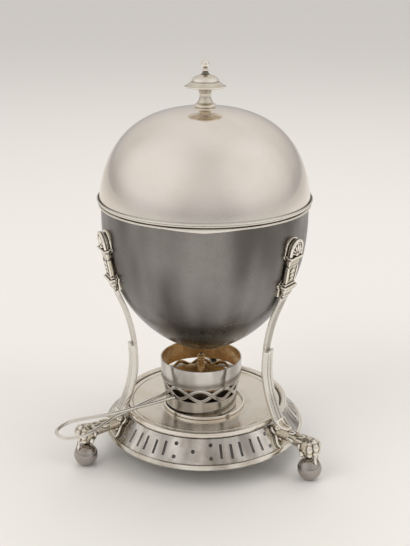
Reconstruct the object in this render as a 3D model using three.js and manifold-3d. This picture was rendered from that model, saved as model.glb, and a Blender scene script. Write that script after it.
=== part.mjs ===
// A table egg warmer in silver plate: an egg-shaped bowl with a lift-off dome, held by three legs that end
// in lion's paws on balls, over a spirit burner that stands on a pierced base.
// Millimetres, +Z up. One leg is at the back (+Y). The origin is on the table, under the centre of the
// object's box.

import * as THREE from "three";
import { mergeVertices } from "three/addons/utils/BufferGeometryUtils.js";
import Module from "manifold-3d";

const wasm = await Module();
wasm.setup();

// Sheet metal and clearances
const SHEET = 1.0; // wall of the bowl, the lid and the base plate
const GAP = 0.3; // soldered or resting faces are kept this far apart
const LID_PLAY = 0.4; // around the lid's bezel inside the bowl

// Feet
const LEG_COUNT = 3;
const BACK_LEG = Math.PI / 2; // azimuth of the leg at the back
const FEET_CIRCLE = 78.3; // radius of the circle of the ball feet
const BALL_RADIUS = 7.2;
const BALL_FLAT = 2.0; // radius of the small flat that each ball stands on

// Base plate with its raised shoulder bead
const PLATE_HEIGHT = 27.0; // top of the plate at its middle, above the table
const PLATE_FLAT = 27.5; // radius of the level middle
const PLATE_DISH = 3.2; // how far the plate rises towards its shoulder
const SHOULDER_RADIUS = 50.2; // crest of the bead
const BEAD_RADIUS = 1.7; // of the bead's own round
const GROOVE_WIDTH = 1.2; // of the groove inside the bead
const GROOVE_DEPTH = 0.9;

// Pierced gallery and the rolled rim at its foot
const GALLERY_SPREAD = 9.2; // how far the gallery flares
const GALLERY_DROP = 11.0; // its height
const GALLERY_WALL = 0.8;
const RIM_WIRE = 2.0; // radius of the rolled rim
const SLOTS_PER_SIDE = 5; // on each side of the middle of a sector
const PIERCING_PITCH = 6.45 * THREE.MathUtils.DEG2RAD;
const FIRST_COLUMN = 10.9 * THREE.MathUtils.DEG2RAD; // from the middle of a sector to its first column
const SLOT_WIDTH = 1.6;
const SLOT_LENGTH = 8.6;
const HOLE_RADIUS = 1.2;
const HOLE_ROW = 3.9; // from the middle of the band to the rows of round holes

// Locating collar for the burner
const COLLAR_RADIUS = 25.6; // outside
const COLLAR_WALL = 1.1;
const COLLAR_HEIGHT = 1.5;

// Bowl: straight wall, then an egg's end
const BOWL_RADIUS = 61.0;
const FLAME_GAP = 6.8; // from the burner's rim to the bottom of the bowl
const BOWL_DEPTH = 94.7; // from mouth to bottom
const BOWL_STRAIGHT = 10.3; // height of the straight wall under the mouth
const BOWL_BOTTOM_SPREAD = 0.23; // how flat the bottom is, as a share of the radius
const BOWL_SIDE_REACH = 0.76; // how far the side's curve reaches down, as a share of the curved depth
const RIM_BAND_HEIGHT = 3.0;
const RIM_BAND_PROUD = 1.5; // the applied band's reach beyond the bowl
const RIM_POINT_DROP = 1.3; // shallow point on the band's lower edge, at the front
const RIM_POINT_HALF_WIDTH = 20 * THREE.MathUtils.DEG2RAD;
const FRONT = -84 * THREE.MathUtils.DEG2RAD;

// Lid
const LIP_REACH = 2.3; // of the out-turned lip beyond the bowl
const LIP_THICKNESS = 1.2;
const BEZEL_DEPTH = 4.6;
const BEZEL_WALL = 0.8;
const DOME_PROUD = 0.8; // how far the dome's foot stands out beyond the bowl
const DOME_HEIGHT = 51.2;
const DOME_SIDE_REACH = 0.778; // of the side's curve, as a share of the height
const DOME_LEAN = 4.8; // how far the side leans in over that reach
const DOME_CROWN_SPREAD = 0.5; // how flat the crown is, as a share of the radius

// Finial: radii and heights above its seat
const STUD_RADIUS = 1.5;
const STUD_LENGTH = 5.2;
const STUD_PLAY = 0.3;
const FINIAL_FOOT_RADIUS = 6.3;
const FINIAL_STEM_RADIUS = 3.4;
const FINIAL_BRIM_RADIUS = 12.2;
const FINIAL_BRIM_HEIGHT = 11.5;
const FINIAL_CAP_RADIUS = 7.8;
const FINIAL_BALL_RADIUS = 2.3;
const FINIAL_HEIGHT = 25.9;
const NUT_RADIUS = 4.2;
const NUT_THICKNESS = 2.4;

// Legs: widths across the leg, depths outwards, lengths along the leg
const CAPITAL_LENGTH = 36.5;
const CAPITAL_TOP_BELOW_MOUTH = 13.2;
const CAPITAL_UPRIGHT = 0.975; // height of the leaning capital, as a share of its length
const CAPITAL_BURIED = 4.0; // how far its blocks reach inwards before the bowl is cut out of them
const BAR_TOP_WIDTH = 6.8; // under the capital
const BAR_NECK_WIDTH = 4.8; // just above the reeded sheath
const BAR_FOOT_WIDTH = 6.0;
const BAR_DEPTH = 2.2;
const BAR_CHAMFER = 0.5;
const BAR_SEAT = 1.3; // from the bowl to the bar under the capital
const WAIST_INSET = 15.8; // from the side of the bowl to where the bars come nearest to each other
const WAIST_HEIGHT = 38.0; // above the plate
const ANKLE_RISE = 5.5; // above the plate, where the leg passes the shoulder bead
const ANKLE_CLEARANCE = 0.8; // from the bead to the bar
const HEEL_STEP_OUT = 3.4; // from the ankle to the foot of the bar
const HEEL_STEP_DOWN = 4.2;
const REED_COUNT = 3;
const REED_WIDTH = 8.2; // all reeds together
const REED_DEPTH = 1.8;
const REED_TOP = 48.5; // top of the reeded sheath, above the plate
const REED_FOOT = 0.985; // where the sheath ends, as a share of the bar's line
const LEAF_WIDTH = 9.4;
const LEAF_LENGTH = 8.0;
const LEAF_THICKNESS = 1.7;
const LEAF_FOLD = 0.5; // how far its edges lie below its middle rib
const LEAF_LIP = 0.4; // how much thinner it is at its edges, as a share of its thickness
const PAW_LIMB_RADIUS = 4.2;
const LIMB_DROP = 3.2; // from the foot of the bar to the limb's own line
const LIMB_SWELL = 0.08; // how much thicker the limb is at its ends, as a share
const LIMB_WAIST = 0.14; // how much thinner it is halfway, as a share
const LIMB_END_INSET = 4.4; // from the ball's axis inwards
const LIMB_END_RISE = 8.0; // above the ball
const LIMB_BEND_IN = 1.0; // how far its bend lies inwards of halfway
const LIMB_BEND_RISE = 0.8; // how far its bend lies above its end
const PAW_WIDTH = 13.2;
const PAW_LENGTH = 14.0;
const PAW_DEPTH = 12.8;
const PAW_TILT = 15 * THREE.MathUtils.DEG2RAD;
const PAW_INSET = 2.2; // from the ball's axis inwards
const PAW_RISE = 6.0; // middle of the paw above the ball
const TOE_COUNT = 3;
const TOE_RADIUS = 2.5;
const TOE_LENGTH = 13.0;
const TOE_SPREAD = 55 * THREE.MathUtils.DEG2RAD; // from the middle toe to each outer one
const TOE_TILT = 20 * THREE.MathUtils.DEG2RAD;
const TOE_OUT = 0.74; // from the ball's axis to the middle of a toe, as a share of the ball's radius
const TOE_UP = 1.2; // the same, upwards from the ball's middle
const HEEL_WIDTH = 5.4;
const HEEL_DEPTH = 0.8; // how far down the gallery the heel block reaches, as a share
const HEEL_REACH_IN = 3.0; // behind the bead, before the base is cut out of it
const HEEL_REACH_OUT = 0.5; // in front of the foot of the bar
const HEEL_TOP_DROP = 0.2; // below the foot of the bar

// Burner
const BURNER_SHIFT = 1.9; // off the middle, within its collar
const BURNER_SHIFT_AZIMUTH = 186.5 * THREE.MathUtils.DEG2RAD;
const SHELL_FOOT_RADIUS = 22.3;
const SHELL_RIM_RADIUS = 25.2;
const SHELL_RIM_FLARE = 0.2; // of the plain band at the top
const SHELL_WALL = 0.8;
const SHELL_FOOT_HEIGHT = 8.7;
const SHELL_BAND_HEIGHT = 11.3; // pierced band
const SHELL_RIM_HEIGHT = 11.5; // plain band at the top
const INTERLACE_COUNT = 10;
const EYE_WIDTH = 11.0; // pointed opening of the interlace
const EYE_HEIGHT = 5.2;
const SPANDREL_WIDTH = 6.6; // three-sided opening above and below each crossing
const SPANDREL_HEIGHT = 3.0;
const SPANDREL_MARGIN = 0.7; // from the edge of the band
const FLOOR_THICKNESS = 0.8;
const FLOOR_RAISE = 0.4;
const FONT_RADIUS = 16.0;
const FONT_HEIGHT = 14.2;
const FONT_WALL = 0.8;
const FONT_COVER_RADIUS = 20.8;
const FONT_COVER_THICKNESS = 0.8;
const TUBE_RADIUS = 1.65;
const TUBE_BORE = 1.1;
const TUBE_TOP_ABOVE_RIM = 0.9;
const TUBE_BELOW_COVER = 5.0;
const WICK_COLLAR_RADIUS = 2.5; // a sleeve round the tube, from the cover up
const WICK_COLLAR_RIDGES = 2; // at its top
const WICK_COLLAR_RIDGE = 1.6; // height of each ridge
const WICK_COLLAR_GROOVE = 0.35; // depth between its ridges
const WICK_COLLAR_BELOW_TIP = 0.4; // from the top of the tube
const WICK_RADIUS = 0.85;
const WICK_SHOWS = 0.9; // above its tube
const WICK_TO_FLOOR = 2.0;

// Handle of the burner: a bent wire, measured from the burner's axis
const HANDLE_WIRE = 1.05;
const HANDLE_AZIMUTH = 222.6 * THREE.MathUtils.DEG2RAD;
const HANDLE_ABOVE_FOOT = 10.9;
const HANDLE_END_SPREAD = 3.7; // of each end from the handle's own middle line
const HANDLE_CROSSING = 63.0; // where the two wires cross
const HANDLE_LOOP_CENTRE = 89.5;
const HANDLE_LOOP_HALF_WIDTH = 9.2;
const HANDLE_TIP = 101.0;
const HANDLE_SEAT = 0.1; // from the band to each end, beyond the soldering gap
const HANDLE_DROOP = 2.6 * THREE.MathUtils.DEG2RAD; // down towards its loop

// Egg rack
const EGG_COUNT = 4;
const RACK_PLATE_PLAY = 4.4; // from the plate to the inside of the bowl
const RACK_EDGE = 6.0; // from the egg holes to the plate's edge
const RACK_WEB = 5.2; // between neighbouring egg holes
const RACK_PLATE_RISE = 27.0; // above the tray
const RACK_SHEET = 1.2;
const TRAY_PLAY = 1.4; // from the tray to the inside of the bowl
const TRAY_HOLE = 6.5;
const TRAY_ABOVE_BOTTOM = 20.0; // above the inside of the bowl's bottom
const STEM_RADIUS = 2.2;
const STEM_HOLE_PLAY = 0.3;
const STEM_ABOVE_PLATE = 47.0;
const STEM_BELOW_TRAY = 4.0;
const BOSS_REACH = 2.0; // beyond the stem
const BOSS_HEIGHT = 2.0;
const RACK_FOOT_COUNT = 3;
const RACK_FOOT_CIRCLE = 17.0;
const RACK_FOOT_RADIUS = 1.6;
const RING_RADIUS = 9.5;
const RING_WIRE = 1.5;

// Facets
const ROUND = 36; // of the large turned pieces, a multiple of four and of the number of legs
const ROUND_SMALL = 14;
const ROUND_WIRE = 6;

// Heights that follow from the sizes above
const shellFoot = PLATE_HEIGHT + GAP;
const shellBandBottom = shellFoot + SHELL_FOOT_HEIGHT;
const shellBandTop = shellBandBottom + SHELL_BAND_HEIGHT;
const shellRim = shellBandTop + SHELL_RIM_HEIGHT;
const bowlBottom = shellRim + FLAME_GAP;
const bowlMouth = bowlBottom + BOWL_DEPTH;
const lipBottom = bowlMouth + GAP;
const domeFoot = lipBottom + LIP_THICKNESS + GAP;
const domeTop = domeFoot + DOME_HEIGHT;
const shoulderTop = PLATE_HEIGHT + PLATE_DISH;
const beadOuter = SHOULDER_RADIUS + BEAD_RADIUS;
const galleryTop = shoulderTop - BEAD_RADIUS - GAP;
const galleryFoot = galleryTop - GALLERY_DROP;
const galleryFootRadius = SHOULDER_RADIUS + BEAD_RADIUS * 0.6 + GALLERY_SPREAD;
const capitalTop = bowlMouth - CAPITAL_TOP_BELOW_MOUTH;
const ballCentre = Math.sqrt(BALL_RADIUS ** 2 - BALL_FLAT ** 2);

// Finishes
const finish = (color, roughness, metalness = 1.0) =>
  new THREE.MeshStandardMaterial({ color, roughness, metalness });
const plate = {
  bright: finish(0xd9d6cf, 0.12),
  bowl: finish(0xcfccc6, 0.16),
  cast: finish(0xd2cbb8, 0.24),
  gilt: finish(0xb98b4e, 0.3),
  dark: finish(0x3b352d, 0.6),
  wick: finish(0xcabfa4, 0.95, 0.0),
};

// A part of a circle, as points of an outline in radius and height
function arc(radius, height, round, from, to, steps) {
  const points = [];
  for (let i = 0; i <= steps; i++) {
    const angle = from + ((to - from) * i) / steps;
    points.push([radius + round * Math.cos(angle), height + round * Math.sin(angle)]);
  }
  return points;
}

// Points of a cubic curve in radius and height
function curvePoints(controls, steps) {
  const ends = controls.map(([r, z]) => new THREE.Vector2(r, z));
  const curve = new THREE.CubicBezierCurve(...ends);
  return curve.getPoints(steps).map((p) => [p.x, p.y]);
}

// The same outline moved sideways by a distance, to the left of its direction
function beside(outline, distance) {
  return outline.map(([r, z], i) => {
    const before = outline[Math.max(i - 1, 0)];
    const after = outline[Math.min(i + 1, outline.length - 1)];
    const length = Math.hypot(after[0] - before[0], after[1] - before[1]);
    const across = [-(after[1] - before[1]) / length, (after[0] - before[0]) / length];
    return [Math.max(r + across[0] * distance, 0), z + across[1] * distance];
  });
}

// The radius of an outline at a height
function radiusAt(outline, height) {
  for (let i = 1; i < outline.length; i++) {
    const [r0, z0] = outline[i - 1];
    const [r1, z1] = outline[i];
    if ((z0 - height) * (z1 - height) <= 0 && z0 !== z1) {
      return r0 + ((r1 - r0) * (height - z0)) / (z1 - z0);
    }
  }
  return outline[outline.length - 1][0];
}

// The height of an outline at a radius
function heightAt(outline, radius) {
  return radiusAt(outline.map(([r, z]) => [z, r]), radius);
}

// Drops flat triangles, merges shared corners and turns the skin outwards
function tidy(geometry) {
  const bare = new THREE.BufferGeometry();
  bare.setAttribute("position", geometry.getAttribute("position"));
  if (geometry.index) bare.setIndex(geometry.index);
  const merged = mergeVertices(bare, 1e-4);
  const corner = merged.getAttribute("position");
  const faces = [];
  let volume = 0;
  const [a, b, c] = [new THREE.Vector3(), new THREE.Vector3(), new THREE.Vector3()];
  for (let i = 0; i < merged.index.count; i += 3) {
    const face = [0, 1, 2].map((k) => merged.index.getX(i + k));
    if (new Set(face).size < 3) continue;
    faces.push(face);
    [a, b, c].forEach((point, k) => point.fromBufferAttribute(corner, face[k]));
    volume += a.dot(b.cross(c));
  }
  if (volume < 0) faces.forEach((face) => face.reverse());
  merged.setIndex(faces.flat());
  return merged;
}

// A turned piece from points in radius and height. The outline starts and ends on the axis, or closes
// on itself.
function turned(outline, facets = ROUND) {
  const onAxis = outline[0][0] === 0 && outline[outline.length - 1][0] === 0;
  const points = (onAxis ? outline : [...outline, outline[0]]).map(([r, z]) => new THREE.Vector2(r, z));
  return tidy(new THREE.LatheGeometry(points, facets).rotateX(Math.PI / 2));
}

// A flat ring or a tube, as a turned piece
function ring(inner, outer, bottom, top, facets = ROUND) {
  return turned([[inner, bottom], [outer, bottom], [outer, top], [inner, top]], facets);
}

// A disc or a solid rod, as a turned piece
function disc(radius, bottom, top, facets = ROUND) {
  return turned([[0, bottom], [radius, bottom], [radius, top], [0, top]], facets);
}

// A closed skin over a row of rings of points. It is capped at both ends, or runs round to its start.
function loft(rings, round = false) {
  const size = rings[0].length;
  const corners = rings.flat().map((p) => p.toArray()).flat();
  const faces = [];
  const joins = round ? rings.length : rings.length - 1;
  for (let i = 0; i < joins; i++) {
    const next = (i + 1) % rings.length;
    for (let k = 0; k < size; k++) {
      const [a, b] = [i * size + k, i * size + ((k + 1) % size)];
      const [c, d] = [next * size + k, next * size + ((k + 1) % size)];
      faces.push(a, b, d, a, d, c);
    }
  }
  if (!round) {
    [0, rings.length - 1].forEach((end) => {
      const middle = rings[end].reduce((sum, p) => sum.add(p), new THREE.Vector3()).divideScalar(size);
      const hub = corners.length / 3;
      corners.push(...middle.toArray());
      for (let k = 0; k < size; k++) {
        const [a, b] = [end * size + k, end * size + ((k + 1) % size)];
        faces.push(...(end === 0 ? [hub, b, a] : [hub, a, b]));
      }
    });
  }
  const geometry = new THREE.BufferGeometry();
  geometry.setAttribute("position", new THREE.Float32BufferAttribute(corners, 3));
  geometry.setIndex(faces);
  return tidy(geometry);
}

// Rings of a section carried along a curve that lies in the XZ plane. The section gives points as
// [across, outwards] for a place on the curve from 0 to 1.
function ringsAlong(curve, places, section) {
  return places.map((t) => {
    const centre = curve.getPoint(t);
    const along = curve.getTangent(t);
    const across = new THREE.Vector3(0, 1, 0);
    const out = new THREE.Vector3().crossVectors(across, along).negate().normalize();
    return section(t).map(([side, outwards]) =>
      centre.clone().addScaledVector(across, side).addScaledVector(out, outwards));
  });
}

const evenly = (from, to, steps) =>
  Array.from({ length: steps + 1 }, (_, i) => from + ((to - from) * i) / steps);

// Solids for joining and cutting
function solid(geometry) {
  const clean = tidy(geometry);
  const mesh = new wasm.Mesh({
    numProp: 3,
    vertProperties: new Float32Array(clean.getAttribute("position").array),
    triVerts: new Uint32Array(clean.index.array),
  });
  return new wasm.Manifold(mesh);
}

function geometryOf(manifold) {
  const mesh = manifold.getMesh();
  const geometry = new THREE.BufferGeometry();
  geometry.setAttribute("position", new THREE.BufferAttribute(mesh.vertProperties, 3));
  geometry.setIndex(new THREE.BufferAttribute(mesh.triVerts, 1));
  return geometry;
}

const joined = (geometries) => geometries.map(solid).reduce((whole, piece) => whole.add(piece));
const cut = (geometry, cutters) => geometryOf(solid(geometry).subtract(joined(cutters)));

// An outline extruded towards +X: its own x runs along Y and its own y along Z
function plaque(shape, depth, curveSegments = 6) {
  const turn = new THREE.Matrix4().makeBasis(
    new THREE.Vector3(0, 1, 0), new THREE.Vector3(0, 0, 1), new THREE.Vector3(1, 0, 0));
  const options = { depth, bevelEnabled: false, curveSegments };
  return new THREE.ExtrudeGeometry(shape, options).applyMatrix4(turn);
}

const shapeOf = (points) => new THREE.Shape(points.map(([x, y]) => new THREE.Vector2(x, y)));

// The scene
const eggWarmer = new THREE.Group();
const standing = new THREE.Group();
eggWarmer.add(standing);

function piece(name, geometry, material, parent = standing) {
  const mesh = new THREE.Mesh(geometry, material);
  mesh.name = name;
  parent.add(mesh);
  return mesh;
}

// Base: dished plate, collar, pierced gallery and rolled rim
const plateTop = [
  [0, PLATE_HEIGHT],
  [PLATE_FLAT, PLATE_HEIGHT],
  [SHOULDER_RADIUS - BEAD_RADIUS - GROOVE_WIDTH, shoulderTop],
  [SHOULDER_RADIUS - BEAD_RADIUS - GROOVE_WIDTH / 2, shoulderTop - GROOVE_DEPTH],
  ...arc(SHOULDER_RADIUS, shoulderTop, BEAD_RADIUS, Math.PI, -Math.PI / 2, 6),
];

function basePlate() {
  const under = [
    [SHOULDER_RADIUS - BEAD_RADIUS - GROOVE_WIDTH, shoulderTop - BEAD_RADIUS],
    [PLATE_FLAT, PLATE_HEIGHT - SHEET],
    [0, PLATE_HEIGHT - SHEET],
  ];
  return turned([...plateTop, ...under]);
}

const galleryFace = [
  [galleryFootRadius - GALLERY_SPREAD, galleryTop],
  [galleryFootRadius, galleryFoot],
];

function gallery() {
  const wall = turned([...galleryFace, ...beside(galleryFace, -GALLERY_WALL).reverse()]);
  const slope = Math.atan2(GALLERY_SPREAD, GALLERY_DROP);
  const middleRadius = galleryFootRadius - GALLERY_SPREAD / 2;
  const middleHeight = (galleryTop + galleryFoot) / 2;
  const punch = 6 * GALLERY_WALL;
  const slot = new THREE.BoxGeometry(punch, SLOT_WIDTH, SLOT_LENGTH);
  const hole = new THREE.CylinderGeometry(HOLE_RADIUS, HOLE_RADIUS, punch, 6).rotateZ(Math.PI / 2);
  const place = (tool, azimuth, alongSlope) =>
    tool.clone()
      .translate(0, 0, alongSlope)
      .rotateY(-slope)
      .translate(middleRadius, 0, middleHeight)
      .rotateZ(azimuth);
  const tools = [];
  for (let sector = 0; sector < LEG_COUNT; sector++) {
    const middle = BACK_LEG + ((sector + 0.5) * 2 * Math.PI) / LEG_COUNT;
    tools.push(place(hole, middle, 0));
    [-1, 1].forEach((side) => {
      const column = (n) => middle + side * (FIRST_COLUMN + n * PIERCING_PITCH);
      [0, SLOTS_PER_SIDE + 1].forEach((n) => {
        tools.push(place(hole, column(n), HOLE_ROW), place(hole, column(n), -HOLE_ROW));
      });
      for (let n = 1; n <= SLOTS_PER_SIDE; n++) tools.push(place(slot, column(n), 0));
    });
  }
  return cut(wall, tools);
}

const rimCentre = { radius: galleryFootRadius, height: galleryFoot - GAP - RIM_WIRE };

function baseRim() {
  return turned(arc(rimCentre.radius, rimCentre.height, RIM_WIRE, 0, 2 * Math.PI, 6).slice(0, -1));
}

piece("base_plate", basePlate(), plate.bright);
const collarFoot = PLATE_HEIGHT + GAP;
piece("burner_collar",
  ring(COLLAR_RADIUS - COLLAR_WALL, COLLAR_RADIUS, collarFoot, collarFoot + COLLAR_HEIGHT), plate.bright);
piece("gallery", gallery(), plate.bright);
piece("base_rim", baseRim(), plate.bright);

// Bowl
const bowlCurve = curvePoints([
  [0, bowlBottom],
  [BOWL_RADIUS * BOWL_BOTTOM_SPREAD, bowlBottom],
  [BOWL_RADIUS, bowlMouth - BOWL_STRAIGHT - BOWL_SIDE_REACH * (BOWL_DEPTH - BOWL_STRAIGHT)],
  [BOWL_RADIUS, bowlMouth - BOWL_STRAIGHT],
], 8);
const bowlOutside = [...bowlCurve, [BOWL_RADIUS, bowlMouth]];
const bowlInside = beside(bowlOutside, SHEET).map(([r, z], i, all) =>
  i === 0 ? [0, z] : i === all.length - 1 ? [r, bowlMouth] : [r, z]);

function bowlRim() {
  const inner = BOWL_RADIUS + GAP;
  const outer = BOWL_RADIUS + RIM_BAND_PROUD;
  const rings = evenly(0, 2 * Math.PI, 54).slice(0, -1).map((azimuth) => {
    const away = Math.abs(Math.atan2(Math.sin(azimuth - FRONT), Math.cos(azimuth - FRONT)));
    const point = Math.max(0, 1 - away / RIM_POINT_HALF_WIDTH);
    const bottom = bowlMouth - RIM_BAND_HEIGHT - RIM_POINT_DROP * point;
    return [[inner, bottom], [outer, bottom], [outer, bowlMouth], [inner, bowlMouth]].map(
      ([r, z]) => new THREE.Vector3(r * Math.cos(azimuth), r * Math.sin(azimuth), z));
  });
  return loft(rings, true);
}

piece("bowl", turned([...bowlOutside, ...bowlInside.slice().reverse()]), plate.bowl);
piece("bowl_rim", bowlRim(), plate.bright);

// Lid
const domeRadius = BOWL_RADIUS + DOME_PROUD;
const domeOutside = curvePoints([
  [domeRadius, domeFoot],
  [domeRadius - DOME_LEAN, domeFoot + DOME_SIDE_REACH * DOME_HEIGHT],
  [domeRadius * DOME_CROWN_SPREAD, domeTop],
  [STUD_RADIUS + STUD_PLAY, domeTop],
], 8);
const domeInside = beside(domeOutside, SHEET).map(([r, z], i, all) =>
  i === 0 ? [r, domeFoot] : i === all.length - 1 ? [STUD_RADIUS + STUD_PLAY, z] : [r, z]);

function finial() {
  const seat = domeTop + GAP;
  const at = (r, h) => [r, seat + h];
  const ballHeight = FINIAL_HEIGHT - FINIAL_BALL_RADIUS;
  const brim = FINIAL_BRIM_HEIGHT;
  return turned([
    at(0, -STUD_LENGTH),
    at(STUD_RADIUS, -STUD_LENGTH),
    at(STUD_RADIUS, 0),
    at(FINIAL_FOOT_RADIUS - 0.4, 0),
    at(FINIAL_FOOT_RADIUS, 0.5),
    at(FINIAL_FOOT_RADIUS, 1.1),
    at(FINIAL_FOOT_RADIUS - 1.2, 1.9),
    at(FINIAL_STEM_RADIUS + 0.5, 2.9),
    at(FINIAL_STEM_RADIUS, 4.4),
    at(FINIAL_STEM_RADIUS, brim - 4.6),
    at(FINIAL_STEM_RADIUS + 0.6, brim - 3.3),
    at(FINIAL_CAP_RADIUS - 2.2, brim - 2.4),
    at(FINIAL_BRIM_RADIUS - 0.8, brim - 0.5),
    at(FINIAL_BRIM_RADIUS, brim),
    at(FINIAL_BRIM_RADIUS - 1.0, brim + 0.6),
    at(FINIAL_CAP_RADIUS + 0.5, brim + 2.2),
    ...curvePoints([
      at(FINIAL_CAP_RADIUS, brim + 2.7),
      at(FINIAL_CAP_RADIUS - 1.0, brim + 5.4),
      at(FINIAL_BALL_RADIUS, brim + 6.4),
      at(FINIAL_BALL_RADIUS * 0.6, ballHeight - 3.9),
    ], 5),
    at(FINIAL_BALL_RADIUS * 0.75, ballHeight - 3.1),
    at(FINIAL_BALL_RADIUS * 0.5, ballHeight - 2.2),
    ...arc(0, seat + ballHeight, FINIAL_BALL_RADIUS, -Math.PI / 3, Math.PI / 2, 6).slice(0, -1),
    at(0, FINIAL_HEIGHT),
  ], ROUND_SMALL);
}

function hexagonNut(bore, radius, bottom, top) {
  return cut(disc(radius, bottom, top, 6), [disc(bore, bottom - radius, top + radius, 12)]);
}

const bezelOuter = BOWL_RADIUS - SHEET - LID_PLAY;
const lipRadius = BOWL_RADIUS + LIP_REACH;
const lipOutline = [
  [bezelOuter - BEZEL_WALL, lipBottom],
  ...arc(lipRadius - LIP_THICKNESS / 2, lipBottom + LIP_THICKNESS / 2, LIP_THICKNESS / 2,
    -Math.PI / 2, Math.PI / 2, 2),
  [bezelOuter - BEZEL_WALL, lipBottom + LIP_THICKNESS],
];
piece("lid_dome", turned([...domeOutside, ...domeInside.slice().reverse()]), plate.bright);
piece("lid_lip", turned(lipOutline), plate.bright);
piece("lid_bezel",
  ring(bezelOuter - BEZEL_WALL, bezelOuter, lipBottom - GAP - BEZEL_DEPTH, lipBottom - GAP), plate.bright);
piece("finial", finial(), plate.cast);
const nutTop = domeInside[domeInside.length - 1][1] - GAP;
piece("finial_nut",
  hexagonNut(STUD_RADIUS + STUD_PLAY, NUT_RADIUS, nutTop - NUT_THICKNESS, nutTop), plate.cast);

// Legs. Each is built in its own turned group, with +X outwards.
const capitalFoot = capitalTop - CAPITAL_LENGTH * CAPITAL_UPRIGHT;
const capitalSeat = [
  [radiusAt(bowlOutside, capitalFoot), capitalFoot],
  [radiusAt(bowlOutside, capitalTop), capitalTop],
];
const capitalLean = Math.atan2(capitalSeat[1][0] - capitalSeat[0][0], capitalTop - capitalFoot);
const bowlRoom = turned([...beside(bowlOutside, -GAP), [0, bowlMouth + SHEET]]);

// Slabs of the capital: [bottom, top, width, depth] along the capital, from its neck upwards
const CAPITAL_SLABS = [
  [0, 1.9, 7.6, 4.4],
  [2.2, 4.9, 9.2, 4.9],
  [5.9, 8.0, 13.2, 6.2],
  [8.0, 9.2, 11.2, 5.0],
  [20.0, 24.4, 10.6, 4.6],
  [24.4, 26.2, 13.8, 6.2],
];
const CAPITAL_CORE = [0, 26.2, 6.6, 3.6];
const PANEL = { bottom: 9.2, top: 19.3, bottomWidth: 9.0, topWidth: 10.4, depth: 4.2 };
const CAPITAL_GROOVE = { depth: 2.2, width: 1.1, web: 6.6 }; // up both sides, between plate and block
const LUNETTE = { bottom: 26.2, width: 12.0, depth: 4.2, rim: 1.3, proud: 0.9, ribs: 5 };

function capital() {
  const buried = CAPITAL_BURIED;
  const slab = ([bottom, top, width, depth]) =>
    new THREE.BoxGeometry(depth + buried, width, top - bottom)
      .translate((depth - buried) / 2, 0, (top + bottom) / 2);
  const panel = plaque(shapeOf([
    [-PANEL.bottomWidth / 2, PANEL.bottom - 0.1],
    [PANEL.bottomWidth / 2, PANEL.bottom - 0.1],
    [PANEL.topWidth / 2, PANEL.top],
    [-PANEL.topWidth / 2, PANEL.top],
  ]), PANEL.depth + buried).translate(-buried, 0, 0);

  // Arched top with a raised rim and a fan
  const half = LUNETTE.width / 2;
  const springing = CAPITAL_LENGTH - half;
  const arch = (grow) => {
    const shape = new THREE.Shape();
    shape.moveTo(-half - grow, LUNETTE.bottom - 0.1);
    shape.lineTo(half + grow, LUNETTE.bottom - 0.1);
    shape.lineTo(half + grow, springing);
    shape.absarc(0, springing, half + grow, 0, Math.PI, false);
    return shape;
  };
  const field = plaque(arch(0), LUNETTE.depth + buried).translate(-buried, 0, 0);
  const rim = cut(plaque(arch(0), LUNETTE.depth + LUNETTE.proud + buried),
    [plaque(arch(-LUNETTE.rim), LUNETTE.depth + LUNETTE.proud + 2 * buried).translate(-1, 0, 0)])
    .translate(-buried, 0, 0);
  const ribLength = half + springing - LUNETTE.bottom - LUNETTE.rim;
  const ribs = evenly(-60, 60, LUNETTE.ribs - 1).map((degrees) =>
    new THREE.SphereGeometry(1, 4, 3)
      .scale(LUNETTE.proud, 0.8, ribLength / 2)
      .translate(0, 0, ribLength / 2)
      .rotateX(degrees * THREE.MathUtils.DEG2RAD * 0.8)
      .translate(LUNETTE.depth, 0, LUNETTE.bottom + 0.2));
  const drop = [[17.4, 1.7], [15.0, 1.4], [12.9, 1.1]].map(([height, size]) =>
    new THREE.SphereGeometry(1, 4, 3)
      .scale(1.1, size, size).translate(PANEL.depth, 0, height));

  const side = new THREE.BoxGeometry(CAPITAL_GROOVE.width, LUNETTE.width, CAPITAL_LENGTH - LUNETTE.rim)
    .translate(CAPITAL_GROOVE.depth + CAPITAL_GROOVE.width / 2, 0, (CAPITAL_LENGTH - LUNETTE.rim) / 2);
  const grooves = [-1, 1].map((way) => side.clone().translate(0, way * (CAPITAL_GROOVE.web + LUNETTE.width) / 2, 0));

  const whole = joined([slab(CAPITAL_CORE), ...CAPITAL_SLABS.map(slab), panel, field, rim, ...ribs, ...drop]);
  const placed = geometryOf(whole.subtract(joined(grooves)))
    .rotateY(capitalLean)
    .translate(capitalSeat[0][0], 0, capitalSeat[0][1]);
  return cut(placed, [bowlRoom]);
}

// The line of the leg's bar: two parabolas that meet at the waist, from the capital down to the ankle, then
// a step out over the gallery
const ankle = {
  radius: beadOuter + ANKLE_CLEARANCE + BAR_DEPTH / 2,
  height: PLATE_HEIGHT + ANKLE_RISE,
};
const waist = { radius: BOWL_RADIUS - WAIST_INSET, height: PLATE_HEIGHT + WAIST_HEIGHT };
const seatDepth = BAR_SEAT + BAR_DEPTH / 2;
const legTop = {
  radius: capitalSeat[0][0] + seatDepth * Math.cos(capitalLean),
  height: capitalFoot - GAP - seatDepth * Math.sin(capitalLean),
};
const fromWaist = (end, share) => [
  waist.radius + (end.radius - waist.radius) * share ** 2,
  waist.height + (end.height - waist.height) * share,
];
const heel = { radius: ankle.radius + HEEL_STEP_OUT, height: ankle.height - HEEL_STEP_DOWN };
const legLine = new THREE.CatmullRomCurve3([
  ...[1, 2 / 3, 1 / 3].map((share) => fromWaist(legTop, share)),
  ...[0, 1 / 3, 2 / 3, 1].map((share) => fromWaist(ankle, share)),
  [heel.radius, heel.height],
].map(([r, z]) => new THREE.Vector3(r, 0, z)), false, "centripetal");
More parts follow.
